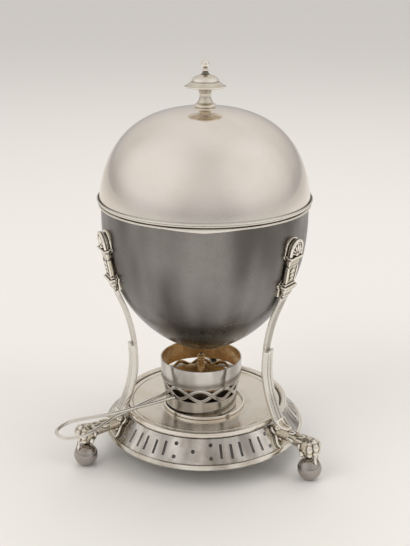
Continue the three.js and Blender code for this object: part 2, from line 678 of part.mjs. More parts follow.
const reedTop = PLATE_HEIGHT + REED_TOP;

// The bar is flat and broad under the capital, narrow just above the reeds and broad again behind them
function barWidth(height) {
  const [end, width] = height > reedTop ? [legTop.height, BAR_TOP_WIDTH] : [ankle.height, BAR_FOOT_WIDTH];
  const share = Math.min((height - reedTop) / (end - reedTop), 1);
  return BAR_NECK_WIDTH + (width - BAR_NECK_WIDTH) * Math.sqrt(share);
}

const chamfered = (halfWidth, halfDepth, corner) => [
  [-halfWidth, -halfDepth + corner], [-halfWidth + corner, -halfDepth],
  [halfWidth - corner, -halfDepth], [halfWidth, -halfDepth + corner],
  [halfWidth, halfDepth - corner], [halfWidth - corner, halfDepth],
  [-halfWidth + corner, halfDepth], [-halfWidth, halfDepth - corner],
];

function barSkin(from, to, steps, grow) {
  return loft(ringsAlong(legLine, evenly(from, to, steps), (t) =>
    chamfered(barWidth(legLine.getPoint(t).z) / 2 + grow, BAR_DEPTH / 2 + grow, BAR_CHAMFER)));
}

// Where the leg's line passes a height, from 0 at its top to 1 at its foot
function placeAtHeight(height) {
  let [above, below] = [0, 1];
  for (let i = 0; i < 30; i++) {
    const middle = (above + below) / 2;
    if (legLine.getPoint(middle).z > height) above = middle;
    else below = middle;
  }
  return above;
}

function legReeds() {
  const seat = BAR_DEPTH / 2 + GAP;
  const reed = REED_WIDTH / REED_COUNT;
  const section = [[REED_WIDTH / 2, seat], [-REED_WIDTH / 2, seat]];
  for (let n = 0; n < REED_COUNT; n++) {
    const middle = -REED_WIDTH / 2 + (n + 0.5) * reed;
    [-0.5, -0.3, 0.3].forEach((share) => {
      const height = REED_DEPTH * (Math.abs(share) < 0.5 ? 1 : 0.55);
      section.push([middle + share * reed, seat + height]);
    });
  }
  section.push([REED_WIDTH / 2, seat + REED_DEPTH * 0.55]);
  return loft(ringsAlong(legLine, evenly(placeAtHeight(reedTop), REED_FOOT, 9), () => section));
}

// Paw: a limb from the heel, a broad paw over the ball and toes that hold it
const ball = new THREE.Vector3(FEET_CIRCLE, 0, ballCentre);
const limbStart = legLine.getPoint(1);
const limbEnd = new THREE.Vector3(FEET_CIRCLE - LIMB_END_INSET, 0, ballCentre + BALL_RADIUS + LIMB_END_RISE);
const limbLine = new THREE.QuadraticBezierCurve3(
  limbStart.clone().add(new THREE.Vector3(GAP, 0, -LIMB_DROP)),
  new THREE.Vector3((limbStart.x + limbEnd.x) / 2 - LIMB_BEND_IN, 0, limbEnd.z + LIMB_BEND_RISE),
  limbEnd);

// A ball on its flat, or the room around it
function ballSkin(grow) {
  const start = -Math.acos(BALL_FLAT / BALL_RADIUS);
  const outline = [
    [0, -grow],
    ...arc(0, ballCentre, BALL_RADIUS + grow, start, Math.PI / 2, 8).slice(0, -1),
    [0, ballCentre + BALL_RADIUS + grow],
  ];
  return turned(outline, 12).translate(ball.x, ball.y, 0);
}

const oval = (width, depth, points = 7) => evenly(0, 2 * Math.PI, points).slice(0, -1)
  .map((angle) => [width * Math.cos(angle), depth * Math.sin(angle)]);

function limb(grow) {
  return loft(ringsAlong(limbLine, evenly(0, 1, 4), (t) => {
    const size = PAW_LIMB_RADIUS * (1 + LIMB_SWELL - LIMB_WAIST * Math.sin(Math.PI * t)) + grow;
    return oval(size, size);
  }));
}

function pawBody() {
  return new THREE.SphereGeometry(1, 8, 6)
    .scale(PAW_LENGTH / 2, PAW_WIDTH / 2, PAW_DEPTH / 2)
    .rotateY(PAW_TILT)
    .translate(ball.x - PAW_INSET, 0, ball.z + BALL_RADIUS + PAW_RISE);
}

function toes() {
  return evenly(-1, 1, TOE_COUNT - 1).map((side) => {
    return new THREE.SphereGeometry(1, 5, 4)
      .scale(TOE_RADIUS * 0.9, TOE_RADIUS * 0.85, TOE_LENGTH / 2)
      .rotateY(-TOE_TILT)
      .translate(BALL_RADIUS * TOE_OUT, 0, BALL_RADIUS * TOE_UP)
      .rotateZ(side * TOE_SPREAD)
      .translate(ball.x, 0, ball.z);
  });
}

// The block that joins the leg's foot to the gallery behind it
function heelBlock() {
  const inner = beadOuter - HEEL_REACH_IN;
  const outer = limbStart.x + HEEL_REACH_OUT;
  const [top, bottom] = [limbStart.z - HEEL_TOP_DROP, galleryTop - GALLERY_DROP * HEEL_DEPTH];
  return plaque(shapeOf([
    [-HEEL_WIDTH / 2, bottom], [HEEL_WIDTH / 2, bottom], [HEEL_WIDTH / 2, top], [-HEEL_WIDTH / 2, top],
  ]), outer - inner).translate(inner, 0, 0);
}

const baseRoom = turned([
  [0, shoulderTop + BEAD_RADIUS + GAP],
  ...arc(SHOULDER_RADIUS, shoulderTop, BEAD_RADIUS + GAP, Math.PI / 2, -Math.PI / 6, 5),
  ...beside(galleryFace, GAP),
  ...arc(rimCentre.radius, rimCentre.height, RIM_WIRE + GAP, Math.PI / 3, -Math.PI / 2, 6),
  [0, rimCentre.height - RIM_WIRE - GAP],
]);

// Leaf collar: a pointed leaf on top of the limb, from the foot of the reeds. Its room in the limb is open
// above.
const leafLine = new THREE.QuadraticBezierCurve3(
  new THREE.Vector3(limbStart.x, 0, limbStart.z),
  new THREE.Vector3(limbStart.x + LEAF_LENGTH * 0.45, 0, limbStart.z - LEAF_LENGTH * 0.35),
  new THREE.Vector3(limbStart.x + LEAF_LENGTH, 0, limbStart.z - LEAF_LENGTH * 0.38));

function leaf(grow, lift) {
  const seat = BAR_DEPTH / 2 + REED_DEPTH * 0.6;
  const length = evenly(grow > 0 ? 0 : 0.03, 1, 5);
  return loft(ringsAlong(leafLine, length, (t) => {
    const width = (LEAF_WIDTH / 2) * Math.sqrt(1 - t * 0.93) + grow;
    const [bottom, top] = [seat - grow, seat + LEAF_THICKNESS * (1 - 0.4 * t) + lift];
    const edge = top - LEAF_FOLD - LEAF_THICKNESS * LEAF_LIP;
    return [[-width, bottom - LEAF_FOLD], [0, bottom], [width, bottom - LEAF_FOLD],
      [width, edge], [0, top], [-width, edge]];
  }));
}

function paw() {
  const whole = joined([limb(0), pawBody(), ...toes(), heelBlock()]);
  const room = joined([ballSkin(GAP), barSkin(0.7, 1, 4, GAP), leaf(GAP, PAW_LIMB_RADIUS), baseRoom]);
  return geometryOf(whole.subtract(room));
}

const legPieces = {
  capital: [capital(), plate.cast],
  leg_bar: [barSkin(0, 1, 13, 0), plate.bright],
  leg_reeds: [legReeds(), plate.bright],
  leaf: [leaf(0, 0), plate.cast],
  paw: [paw(), plate.cast],
  ball: [ballSkin(0), plate.bright],
};
["back", "left", "right"].forEach((side, n) => {
  const leg = new THREE.Group();
  leg.rotation.z = BACK_LEG + (n * 2 * Math.PI) / LEG_COUNT;
  standing.add(leg);
  Object.entries(legPieces).forEach(([name, [geometry, material]]) => {
    piece(`${name}_${side}`, geometry, material, leg);
  });
});

// Burner
const burner = new THREE.Group();
burner.position.set(
  BURNER_SHIFT * Math.cos(BURNER_SHIFT_AZIMUTH), BURNER_SHIFT * Math.sin(BURNER_SHIFT_AZIMUTH), 0);
standing.add(burner);

const shellOutside = [
  [SHELL_FOOT_RADIUS, shellFoot],
  [SHELL_FOOT_RADIUS, shellBandBottom],
  [SHELL_RIM_RADIUS - SHELL_RIM_FLARE, shellBandTop],
  [SHELL_RIM_RADIUS, shellRim],
];

// Interlaced band: pointed eyes, with three-sided openings above and below each crossing
function burnerShell() {
  const wall = turned([...shellOutside, ...beside(shellOutside, SHELL_WALL).reverse()], 3 * INTERLACE_COUNT);
  const lean = Math.atan2(SHELL_RIM_RADIUS - SHELL_FOOT_RADIUS, SHELL_BAND_HEIGHT);
  const middle = [(SHELL_RIM_RADIUS + SHELL_FOOT_RADIUS) / 2, (shellBandBottom + shellBandTop) / 2];
  const punch = 8 * SHELL_WALL;
  const eye = shapeOf([[-0.5, 0], [-0.22, -0.5], [0.22, -0.5], [0.5, 0], [0.22, 0.5], [-0.22, 0.5]]
    .map(([x, y]) => [EYE_WIDTH * x, EYE_HEIGHT * y]));
  const edge = SHELL_BAND_HEIGHT / 2 - SPANDREL_MARGIN;
  const spandrel = shapeOf([
    [-SPANDREL_WIDTH / 2, edge], [0, edge - SPANDREL_HEIGHT], [SPANDREL_WIDTH / 2, edge],
  ]);
  const place = (shape, azimuth, flip) =>
    plaque(shape, punch).translate(-punch / 2, 0, 0).rotateX(flip ? Math.PI : 0)
      .rotateY(lean).translate(middle[0], 0, middle[1]).rotateZ(azimuth);
  const pitch = (2 * Math.PI) / INTERLACE_COUNT;
  const tools = [];
  for (let n = 0; n < INTERLACE_COUNT; n++) {
    const azimuth = FRONT + n * pitch;
    tools.push(place(eye, azimuth, false));
    tools.push(place(spandrel, azimuth + pitch / 2, false), place(spandrel, azimuth + pitch / 2, true));
  }
  return cut(wall, tools);
}

const floorBottom = shellFoot + FLOOR_RAISE;
const floorTop = floorBottom + FLOOR_THICKNESS;
const fontFoot = floorTop + GAP;
const fontTop = fontFoot + FONT_HEIGHT;
const coverBottom = fontTop + GAP;
const coverTop = coverBottom + FONT_COVER_THICKNESS;
const tubeTop = shellRim + TUBE_TOP_ABOVE_RIM;

function fontCup() {
  const inner = FONT_RADIUS - FONT_WALL;
  return turned([
    [0, fontFoot], [FONT_RADIUS, fontFoot], [FONT_RADIUS, fontTop], [inner, fontTop],
    [inner, fontFoot + FONT_WALL], [0, fontFoot + FONT_WALL],
  ], 28);
}

function wickCollar() {
  const bore = TUBE_RADIUS + GAP;
  const ridge = WICK_COLLAR_RIDGE;
  const top = tubeTop - WICK_COLLAR_BELOW_TIP;
  const grooved = WICK_COLLAR_RADIUS - WICK_COLLAR_GROOVE;
  const outline = [[bore, coverTop + GAP], [grooved, coverTop + GAP]];
  for (let n = 0; n < WICK_COLLAR_RIDGES; n++) {
    const foot = top - (WICK_COLLAR_RIDGES - n) * ridge;
    outline.push([grooved, foot]);
    outline.push([WICK_COLLAR_RADIUS, foot + ridge / 3], [WICK_COLLAR_RADIUS, foot + (2 * ridge) / 3]);
  }
  outline.push([grooved, top], [bore, top]);
  return turned(outline, 12);
}

// The handle's wire leaves the band at one side, crosses over itself, turns in a loop and comes back
function burnerHandle() {
  const height = shellFoot + HANDLE_ABOVE_FOOT;
  const shellAtHandle = radiusAt(shellOutside, height) + GAP;
  const end = Math.sqrt(shellAtHandle ** 2 - (HANDLE_END_SPREAD - HANDLE_WIRE) ** 2) + HANDLE_SEAT;
  const between = THREE.MathUtils.lerp;
  const over = HANDLE_WIRE + GAP / 2;
  const half = [
    [end, HANDLE_END_SPREAD, 0],
    [between(end, HANDLE_CROSSING, 0.3), HANDLE_END_SPREAD * 0.8, over * 0.3],
    [between(end, HANDLE_CROSSING, 0.7), HANDLE_END_SPREAD * 0.42, over * 0.9],
    [HANDLE_CROSSING, 0, over],
    [between(HANDLE_CROSSING, HANDLE_LOOP_CENTRE, 0.35), -HANDLE_LOOP_HALF_WIDTH * 0.34, over],
    [between(HANDLE_CROSSING, HANDLE_LOOP_CENTRE, 0.75), -HANDLE_LOOP_HALF_WIDTH * 0.86, over * 0.5],
    [between(HANDLE_LOOP_CENTRE, HANDLE_TIP, 0.1), -HANDLE_LOOP_HALF_WIDTH, over * 0.2],
    [between(HANDLE_LOOP_CENTRE, HANDLE_TIP, 0.78), -HANDLE_LOOP_HALF_WIDTH * 0.66, 0],
  ];
  const tip = [[HANDLE_TIP, 0, 0]];
  const other = half.map(([x, y, z]) => [x, -y, -z]).reverse();
  const route = new THREE.CatmullRomCurve3(
    [...half, ...tip, ...other].map(([x, y, z]) => new THREE.Vector3(x, y, z)), false, "centripetal");
  const section = shapeOf(evenly(0, 2 * Math.PI, ROUND_WIRE).slice(0, -1)
    .map((angle) => [HANDLE_WIRE * Math.cos(angle), HANDLE_WIRE * Math.sin(angle)]));
  return new THREE.ExtrudeGeometry(section, { steps: 48, extrudePath: route, bevelEnabled: false })
    .rotateY(HANDLE_DROOP)
    .rotateZ(HANDLE_AZIMUTH)
    .translate(0, 0, height + end * Math.sin(HANDLE_DROOP));
}

piece("burner_shell", burnerShell(), plate.bright, burner);
piece("burner_floor",
  disc(SHELL_FOOT_RADIUS - SHELL_WALL - GAP, floorBottom, floorTop), plate.dark, burner);
piece("font_cup", fontCup(), plate.dark, burner);
piece("font_cover",
  ring(TUBE_RADIUS + GAP, FONT_COVER_RADIUS, coverBottom, coverTop, 36), plate.gilt, burner);
piece("wick_tube",
  ring(TUBE_BORE, TUBE_RADIUS, coverBottom - TUBE_BELOW_COVER, tubeTop, 12), plate.gilt, burner);
piece("wick_collar", wickCollar(), plate.gilt, burner);
piece("wick",
  disc(WICK_RADIUS, fontFoot + FONT_WALL + WICK_TO_FLOOR, tubeTop + WICK_SHOWS, 8), plate.wick, burner);
piece("burner_handle", burnerHandle(), plate.bright, burner);

// Egg rack
const trayBottom = bowlBottom + SHEET + TRAY_ABOVE_BOTTOM;
const trayTop = trayBottom + RACK_SHEET;
const rackPlateBottom = trayTop + RACK_PLATE_RISE;
const rackPlateTop = rackPlateBottom + RACK_SHEET;
const stemTop = rackPlateTop + STEM_ABOVE_PLATE;
const trayRadius = radiusAt(bowlInside, trayBottom) - TRAY_PLAY;
const rackPlateRadius = radiusAt(bowlInside, rackPlateBottom) - RACK_PLATE_PLAY;

// The egg holes fill the plate: they touch its edge and each other but for a web of metal
const eggShare = Math.sin(Math.PI / EGG_COUNT);
const eggCircle = (rackPlateRadius - RACK_EDGE + RACK_WEB / 2) / (1 + eggShare);
const eggHole = eggCircle * eggShare - RACK_WEB / 2;

function pierced(radius, bottom, top, holeRadius) {
  const holes = evenly(0, 2 * Math.PI, EGG_COUNT).slice(0, -1).map((angle) =>
    disc(holeRadius, bottom - RACK_SHEET, top + RACK_SHEET, ROUND_SMALL)
      .translate(eggCircle, 0, 0).rotateZ(angle + Math.PI / EGG_COUNT));
  const middle = disc(STEM_RADIUS + STEM_HOLE_PLAY, bottom - RACK_SHEET, top + RACK_SHEET, ROUND_SMALL);
  return cut(disc(radius, bottom, top, 32), [...holes, middle]);
}

piece("rack_tray", pierced(trayRadius, trayBottom, trayTop, TRAY_HOLE), plate.bright);
piece("rack_plate", pierced(rackPlateRadius, rackPlateBottom, rackPlateTop, eggHole), plate.bright);
piece("rack_stem", disc(STEM_RADIUS, trayBottom - STEM_BELOW_TRAY, stemTop, 12), plate.bright);
const rackNutTop = trayBottom - GAP;
piece("rack_nut",
  hexagonNut(STEM_RADIUS + STEM_HOLE_PLAY, NUT_RADIUS, rackNutTop - NUT_THICKNESS, rackNutTop), plate.cast);
[["tray", trayTop + GAP], ["plate", rackPlateBottom - GAP - BOSS_HEIGHT]].forEach(([name, foot]) => {
  piece(`rack_boss_${name}`,
    ring(STEM_RADIUS + STEM_HOLE_PLAY, STEM_RADIUS + BOSS_REACH, foot, foot + BOSS_HEIGHT, 12), plate.cast);
});
const ringCentre = stemTop + GAP + RING_RADIUS + RING_WIRE;
piece("rack_ring",
  new THREE.TorusGeometry(RING_RADIUS, RING_WIRE, ROUND_WIRE, 24).rotateX(Math.PI / 2)
    .translate(0, 0, ringCentre), plate.bright);
for (let n = 0; n < RACK_FOOT_COUNT; n++) {
  const seat = heightAt(bowlInside, RACK_FOOT_CIRCLE + RACK_FOOT_RADIUS) + GAP;
  piece(`rack_foot_${n + 1}`,
    disc(RACK_FOOT_RADIUS, seat, trayBottom - GAP, 10).translate(RACK_FOOT_CIRCLE, 0, 0)
      .rotateZ((n * 2 * Math.PI) / RACK_FOOT_COUNT), plate.bright);
}

// The origin goes to the middle of the object's box, on the table
standing.updateMatrixWorld(true);
const middle = new THREE.Box3().setFromObject(standing, true).getCenter(new THREE.Vector3());
standing.position.set(-middle.x, -middle.y, 0);

export default eggWarmer;
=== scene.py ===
# The looks of a silver-plated egg warmer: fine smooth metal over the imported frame, in metres.
# Lengths below are written in millimetres and turned into metres where a mesh is made.

import math

import bmesh
import bpy
import numpy as np
from mathutils import Matrix, Vector


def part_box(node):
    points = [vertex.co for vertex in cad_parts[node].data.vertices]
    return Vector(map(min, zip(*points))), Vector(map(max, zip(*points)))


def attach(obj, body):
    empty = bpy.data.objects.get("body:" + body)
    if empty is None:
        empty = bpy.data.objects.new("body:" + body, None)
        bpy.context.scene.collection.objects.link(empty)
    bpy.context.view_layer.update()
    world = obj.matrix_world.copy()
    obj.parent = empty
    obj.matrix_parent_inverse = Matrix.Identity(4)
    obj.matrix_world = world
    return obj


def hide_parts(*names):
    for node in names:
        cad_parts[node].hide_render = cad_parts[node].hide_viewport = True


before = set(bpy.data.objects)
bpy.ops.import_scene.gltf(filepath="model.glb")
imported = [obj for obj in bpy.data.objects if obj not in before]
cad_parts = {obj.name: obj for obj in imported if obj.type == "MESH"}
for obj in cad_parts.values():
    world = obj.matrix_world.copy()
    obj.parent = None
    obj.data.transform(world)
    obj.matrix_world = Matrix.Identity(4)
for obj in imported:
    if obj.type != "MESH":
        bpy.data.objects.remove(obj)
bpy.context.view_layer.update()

MM = 0.001
TURN = 2 * math.pi
OUT = Vector((1, 0, 0))
ACROSS = Vector((0, 1, 0))
UP = Vector((0, 0, 1))
LEVEL = Vector((1, 1, 0))
FACETS = 160  # round a large turned piece
SMALL_FACETS = 64
SHELL_FACETS = 200  # round the bowl and the dome
BAND_FACETS = 240  # round the gallery and the bowl's rim
SHARP = math.radians(32)  # edges that turn more than this stay crisp
SHELL_STEPS = 56  # along the outlines of the bowl and the dome
WELD = 1e-7  # metres between points that count as one
LOOKS_DOWN = -0.7  # normals lower than this belong to an underside
LOOKS_INWARDS = -0.2  # normals that face the axis more than this belong to an inside
HOLE_FACETS = 20
EGG_HOLE_FACETS = 72
CAPITAL_GRAIN = 0.2  # size of the faces that a casting is remade from
CAPITAL_SOFTENING = 2
PAW_GRAIN = 0.27
PAW_SOFTENING = 9


# Places read from the frame, in millimetres

def low(node):
    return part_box(node)[0] / MM


def high(node):
    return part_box(node)[1] / MM


def heights(node):
    return low(node).z, high(node).z


def half_width(node):
    size = high(node) - low(node)
    return max(size.x, size.y) / 2


def half_depth(node):
    return (high(node).y - low(node).y) / 2


def middle(node):
    return (low(node) + high(node)) / 2


AXIS = middle("base_plate").xy.to_3d()
BURNER_AXIS = middle("burner_floor").xy.to_3d()
BACK_LEG = math.pi / 2
LEGS = ("back", "left", "right")
LEG_COUNT = len(LEGS)
FRONT = math.radians(-84)

# Sheet and joints
SHEET = 1.0
GAP = 0.3

# Base
PLATE_TOP = high("burner_floor").z - 1.5
PLATE_FLAT = 27.5
PLATE_DISH = 3.2
SHOULDER_RADIUS = 50.2
SHOULDER_TOP = PLATE_TOP + PLATE_DISH
BEAD_RADIUS = half_width("base_plate") - SHOULDER_RADIUS
GROOVE_WIDTH = 1.2
GROOVE_DEPTH = 0.9
FINE_GROOVE = 0.45
GALLERY_FOOT, GALLERY_TOP = heights("gallery")
GALLERY_SPREAD = 9.2
GALLERY_SLOPE = math.atan2(GALLERY_SPREAD, GALLERY_TOP - GALLERY_FOOT)
GALLERY_RADIUS = half_width("gallery")
GALLERY_WALL = 0.8
GALLERY_HOLLOW = 0.35  # how far the gallery's slope sags inwards
SLOTS_PER_SIDE = 5
PIERCING_PITCH = math.radians(6.45)
FIRST_COLUMN = math.radians(10.9)
SLOT_WIDTH = 1.6
SLOT_LENGTH = 8.6
HOLE_RADIUS = 1.2
HOLE_ROW = 3.9
SLOT_WANDER = 0.012  # how unevenly the slots were sawn, in radians

# Bowl and lid
BOWL_RADIUS = half_width("bowl")
BOWL_BOTTOM, BOWL_MOUTH = heights("bowl")
BOWL_STRAIGHT = 10.3
BOWL_BOTTOM_SPREAD = 0.23
BOWL_SIDE_REACH = 0.76
RIM_BAND_HEIGHT = 3.0
RIM_BAND_PROUD = half_width("bowl_rim") - BOWL_RADIUS
RIM_POINT_DROP = 1.3
RIM_POINT_HALF_WIDTH = math.radians(20)
LIP_BOTTOM, LIP_TOP = heights("lid_lip")
LIP_RADIUS = half_width("lid_lip")
BEZEL_WALL = 0.8
BEZEL_INSIDE = half_width("lid_bezel") - BEZEL_WALL
DOME_RADIUS = half_width("lid_dome")
DOME_FOOT, DOME_TOP = heights("lid_dome")
DOME_SIDE_REACH = 0.778
DOME_LEAN = 4.8
DOME_CROWN_SPREAD = 0.5

# Finial
STUD_RADIUS = 1.5
STUD_HOLE = 1.8
FINIAL_BALL = 2.3

# Legs: across, outwards and along
CAPITAL_LENGTH = 36.5
CAPITAL_TOP = BOWL_MOUTH - 13.2
CAPITAL_FOOT = CAPITAL_TOP - CAPITAL_LENGTH * 0.975
CAPITAL_BURIED = 1.2  # inside the bowl's wall
CAPITAL_PLATE = 1.3  # thickness of the plate on the bowl
CAPITAL_GROOVE = 1.3  # between that plate and the block in front of it
CAPITAL_INSET = 1.7  # how deep the groove goes in from each side
CAPITAL_SLABS = (  # bottom, top, width and depth
    (0, 0.8, 7.0, 4.0),
    (0.8, 1.9, 7.6, 4.4),
    (2.2, 3.4, 8.6, 4.6),
    (3.3, 4.9, 9.2, 4.9),
    (5.4, 6.6, 12.0, 5.7),
    (6.5, 8.0, 13.2, 6.2),
    (8.0, 9.2, 11.2, 5.0),
    (20.0, 21.2, 10.0, 4.4),
    (21.0, 24.4, 10.6, 4.6),
    (24.2, 25.2, 12.6, 5.6),
    (25.1, 26.2, 13.8, 6.2),
)
PANEL_CORNERS = ((-4.5, 9.2), (-5.2, 19.6), (5.2, 19.6), (4.5, 9.2))
HUSKS = ((17.3, 1.7), (14.6, 1.4), (12.2, 1.1))  # height and size
FAN_FOOT = 26.2
FAN_HALF = 6.0
FAN_DEPTH = 4.1
FAN_SPREAD = 78  # degrees from upright to the last rib
FAN_RIBS = 7
BAR_TOP_WIDTH = 6.8
BAR_NECK_WIDTH = 4.8
BAR_FOOT_WIDTH = 6.0
BAR_DEPTH = 2.2
BAR_EDGE = 0.55
BAR_SEAT = 1.3
WAIST = Vector((45.2, PLATE_TOP + 38.0))
ANKLE = Vector((SHOULDER_RADIUS + BEAD_RADIUS + 0.8 + BAR_DEPTH / 2, PLATE_TOP + 5.5))
HEEL = Vector((ANKLE.x + 3.4, 0, ANKLE.y - 4.2))
REED_COUNT = 3
REED_WIDTH = 8.2
REED_DEPTH = 1.8
REED_TOP = PLATE_TOP + 48.5
BALL_RADIUS = 7.2
BALL_FLAT = 2.0
BALL_CENTRE = Vector((78.3, 0, math.sqrt(BALL_RADIUS ** 2 - BALL_FLAT ** 2)))
LIMB_RADIUS = 4.2
FUR_ROWS = ((0.5, 3, 3.2), (0.85, 4, 3.4))  # place on the limb, locks and their length
TOES = ((-66, -0.5, False), (-22, 0.4, True), (22, 0.4, True), (66, -0.5, False))  # azimuth, rise, clawed
TOE_JOINTS = (  # outwards, up from the ball's top, radii and lean in degrees
    (3.0, 10.4, (2.2, 2.2, 2.0), 50),
    (4.5, 8.0, (2.2, 2.1, 3.0), -12),
    (4.3, 4.6, (1.8, 1.9, 2.4), 12),
)
CLAW = (5.2, BALL_RADIUS * 0.98, (0.75, 0.9, 2.7), -16)  # outwards, up, radii and lean
CHEEKS = ((-105, -2.4), (105, -2.4), (-135, 1.2), (135, 1.2))  # azimuth and height on the paw
SCROLLS = ((-0.6, 2.6, 2.3), (0.8, -3.4, 2.0))  # forward, up and size
HALF_PLATE = [(5.2, 0), (6.4, 2.4), (5.0, 5.6), (3.6, 8.2), (4.4, 11.0), (3.4, 13.0)]

# Burner
SHELL_FOOT, SHELL_RIM = heights("burner_shell")
SHELL_FOOT_RADIUS = 22.3
SHELL_RIM_RADIUS = half_width("burner_shell")
SHELL_WALL = 0.8
BAND_BOTTOM = SHELL_FOOT + 8.7
BAND_TOP = SHELL_RIM - 11.5
INTERLACE_COUNT = 10
STRIP_SWING = 3.85  # of each strip's middle line above and below the band's
STRIP_WIDTH = 2.2
STRIP_DEPTH = 0.9
STRIP_WEAVE = 0.12
BORDER = 0.7  # plain edge of the pierced band, above and below
CUP_WALL = 0.8
TUBE_BORE = 1.1
WICK_STRANDS = 3
WICK_TWIST = 1.1  # radians a millimetre
HANDLE_WIRE = 1.05
HANDLE_AZIMUTH = math.radians(222.6)
HANDLE_HEIGHT = SHELL_FOOT + 10.9
HANDLE_END_SPREAD = 3.7
HANDLE_CROSSING = 63.0
HANDLE_LOOP_CENTRE = 89.5
HANDLE_LOOP_HALF_WIDTH = 9.12
HANDLE_TIP = 100.85
HANDLE_DROOP = math.radians(2.6)  # down towards its loop

# Egg rack
EGG_COUNT = 4
EGG_EDGE = 6.0  # from the egg holes to the plate's edge
EGG_WEB = 5.2  # between neighbouring egg holes
EGG_SHARE = math.sin(math.pi / EGG_COUNT)
EGG_CIRCLE = (half_width("rack_plate") - EGG_EDGE + EGG_WEB / 2) / (1 + EGG_SHARE)
EGG_HOLE = EGG_CIRCLE * EGG_SHARE - EGG_WEB / 2
TRAY_HOLE = 6.5
STEM_HOLE = half_width("rack_stem") + 0.3


# Outlines: lists of points in radius and height, or any two lengths

def eased(points, closed=True, steps=4):
    """Rounds each corner that carries a third value over that length of its two sides."""
    corners = [Vector(p[:2]) for p in points]
    made = []
    for i, point in enumerate(points):
        corner = corners[i]
        at_end = not closed and i in (0, len(points) - 1)
        if len(point) < 3 or at_end:
            made.append(tuple(corner))
            continue
        sides = [corners[i - 1] - corner, corners[(i + 1) % len(points)] - corner]
        start, end = [corner + s.normalized() * min(point[2], s.length * 0.49) for s in sides]
        for k in range(steps + 1):
            t = k / steps
            made.append(tuple(start * (1 - t) ** 2 + corner * 2 * t * (1 - t) + end * t ** 2))
    return made


def curved(controls, steps):
    """Points of a cubic curve through its first and last control."""
    a, b, c, d = [np.array(p, float) for p in controls]
    places = np.linspace(0, 1, steps + 1)[:, None]
    curve = (a * (1 - places) ** 3 + 3 * b * places * (1 - places) ** 2
             + 3 * c * places ** 2 * (1 - places) + d * places ** 3)
    return [tuple(p) for p in curve]


def arc(radius, height, size, start, end, steps=12):
    """Part of a circle of a size around a point, as outline points."""
    return [(radius + size * math.cos(a), height + size * math.sin(a))
            for a in np.linspace(start, end, steps + 1)]


def circle(radius, height, size, steps):
    """A whole circle, with its first point given once."""
    return arc(radius, height, size, 0, TURN, steps)[:-1]


def beside(outline, distance):
    """The same outline moved sideways, to the left of its direction."""
    points = np.array([p[:2] for p in outline], float)
    along = np.gradient(points, axis=0)
    along /= np.linalg.norm(along, axis=1)[:, None]
    moved = points + distance * np.stack([-along[:, 1], along[:, 0]], axis=1)
    moved[:, 0] = np.maximum(moved[:, 0], 0)
    return [tuple(p) for p in moved]


def radius_at(outline, height):
    """Radius of an outline, which runs upwards, at a height."""
    points = np.array(outline)
    return float(np.interp(height, points[:, 1], points[:, 0]))


def smooth_path(points, steps):
    """A smooth curve through points."""
    ends = [2 * points[0] - points[1], *points, 2 * points[-1] - points[-2]]
    made = []
    for a, b, c, d in zip(ends, ends[1:], ends[2:], ends[3:]):
        for k in range(steps):
            t = k / steps
            made.append(0.5 * (2 * b + (c - a) * t + (2 * a - 5 * b + 4 * c - d) * t ** 2
                               + (3 * b - a - 3 * c + d) * t ** 3))
    return [*made, points[-1].copy()]


def directions(path):
    """Each point of a path with the path's direction there."""
    before = [path[0], *path[:-1]]
    after = [*path[1:], path[-1]]
    return [(point, (b - a).normalized()) for point, a, b in zip(path, before, after)]


# Skins: points in millimetres, and faces as lists of their numbers

def angles(count):
    return np.linspace(0, TURN, count, endpoint=False)


def rotation(axis, degrees):
    return Matrix.Rotation(math.radians(degrees), 4, axis)


def loft(rings, closed=False):
    """A skin over rings of points: capped at both ends, or joined to its start."""
    size = len(rings[0])
    vertices = [Vector(p) for ring in rings for p in ring]
    faces = []
    for i in range(len(rings) if closed else len(rings) - 1):
        here, after = i * size, ((i + 1) % len(rings)) * size
        for k in range(size):
            n = (k + 1) % size
            faces.append([here + k, here + n, after + n, after + k])
    if not closed:
        faces.append(list(reversed(range(size))))
        faces.append([(len(rings) - 1) * size + k for k in range(size)])
    return vertices, faces


def combined(*skins):
    """Several skins as one."""
    vertices, faces = [], []
    for points, sides in skins:
        faces += [[len(vertices) + v for v in face] for face in sides]
        vertices += points
    return vertices, faces


def placed(skin, matrix):
    return [matrix @ Vector(v) for v in skin[0]], skin[1]


def turned(outline, facets=FACETS, axis=AXIS):
    """A turned skin. The outline closes on itself, or starts and ends on the axis."""
    spokes = [(math.cos(a), math.sin(a)) for a in angles(facets)]
    rings = [[(r * c, r * s, z) for c, s in spokes] for r, z in outline]
    on_axis = outline[0][0] < 1e-6 and outline[-1][0] < 1e-6
    vertices, faces = loft(rings, closed=not on_axis)
    if on_axis:
        faces = faces[:-2]
    return [v + axis for v in vertices], faces


def swept(path, section, across=ACROSS):
    """A section carried along a path that stays level with one direction. The section gives points as
    (across, outwards) for a place on the path from 0 to 1."""
    rings = []
    for i, (point, along) in enumerate(directions(path)):
        out = along.cross(across).normalized()
        rings.append([point + across * a + out * b for a, b in section(i / (len(path) - 1))])
    return loft(rings)


def moulding(points, size):
    """A round moulding that follows points in Y and Z."""
    section = [(b, a) for a, b in circle(0, 0, size, 10)]
    return swept(points, lambda place: section, OUT)


def ellipsoid(centre, radii, matrix=Matrix(), rings=10, spokes=16):
    """A ball stretched to three radii."""
    deep, wide, tall = radii
    vertices, faces = loft([[
        Vector((math.sin(a) * math.cos(t) * deep, math.sin(a) * math.sin(t) * wide, math.cos(a) * tall))
        for t in angles(spokes)] for a in np.linspace(0, math.pi, rings + 1)])
    return [Vector(centre) + matrix @ v for v in vertices], faces[:-2]


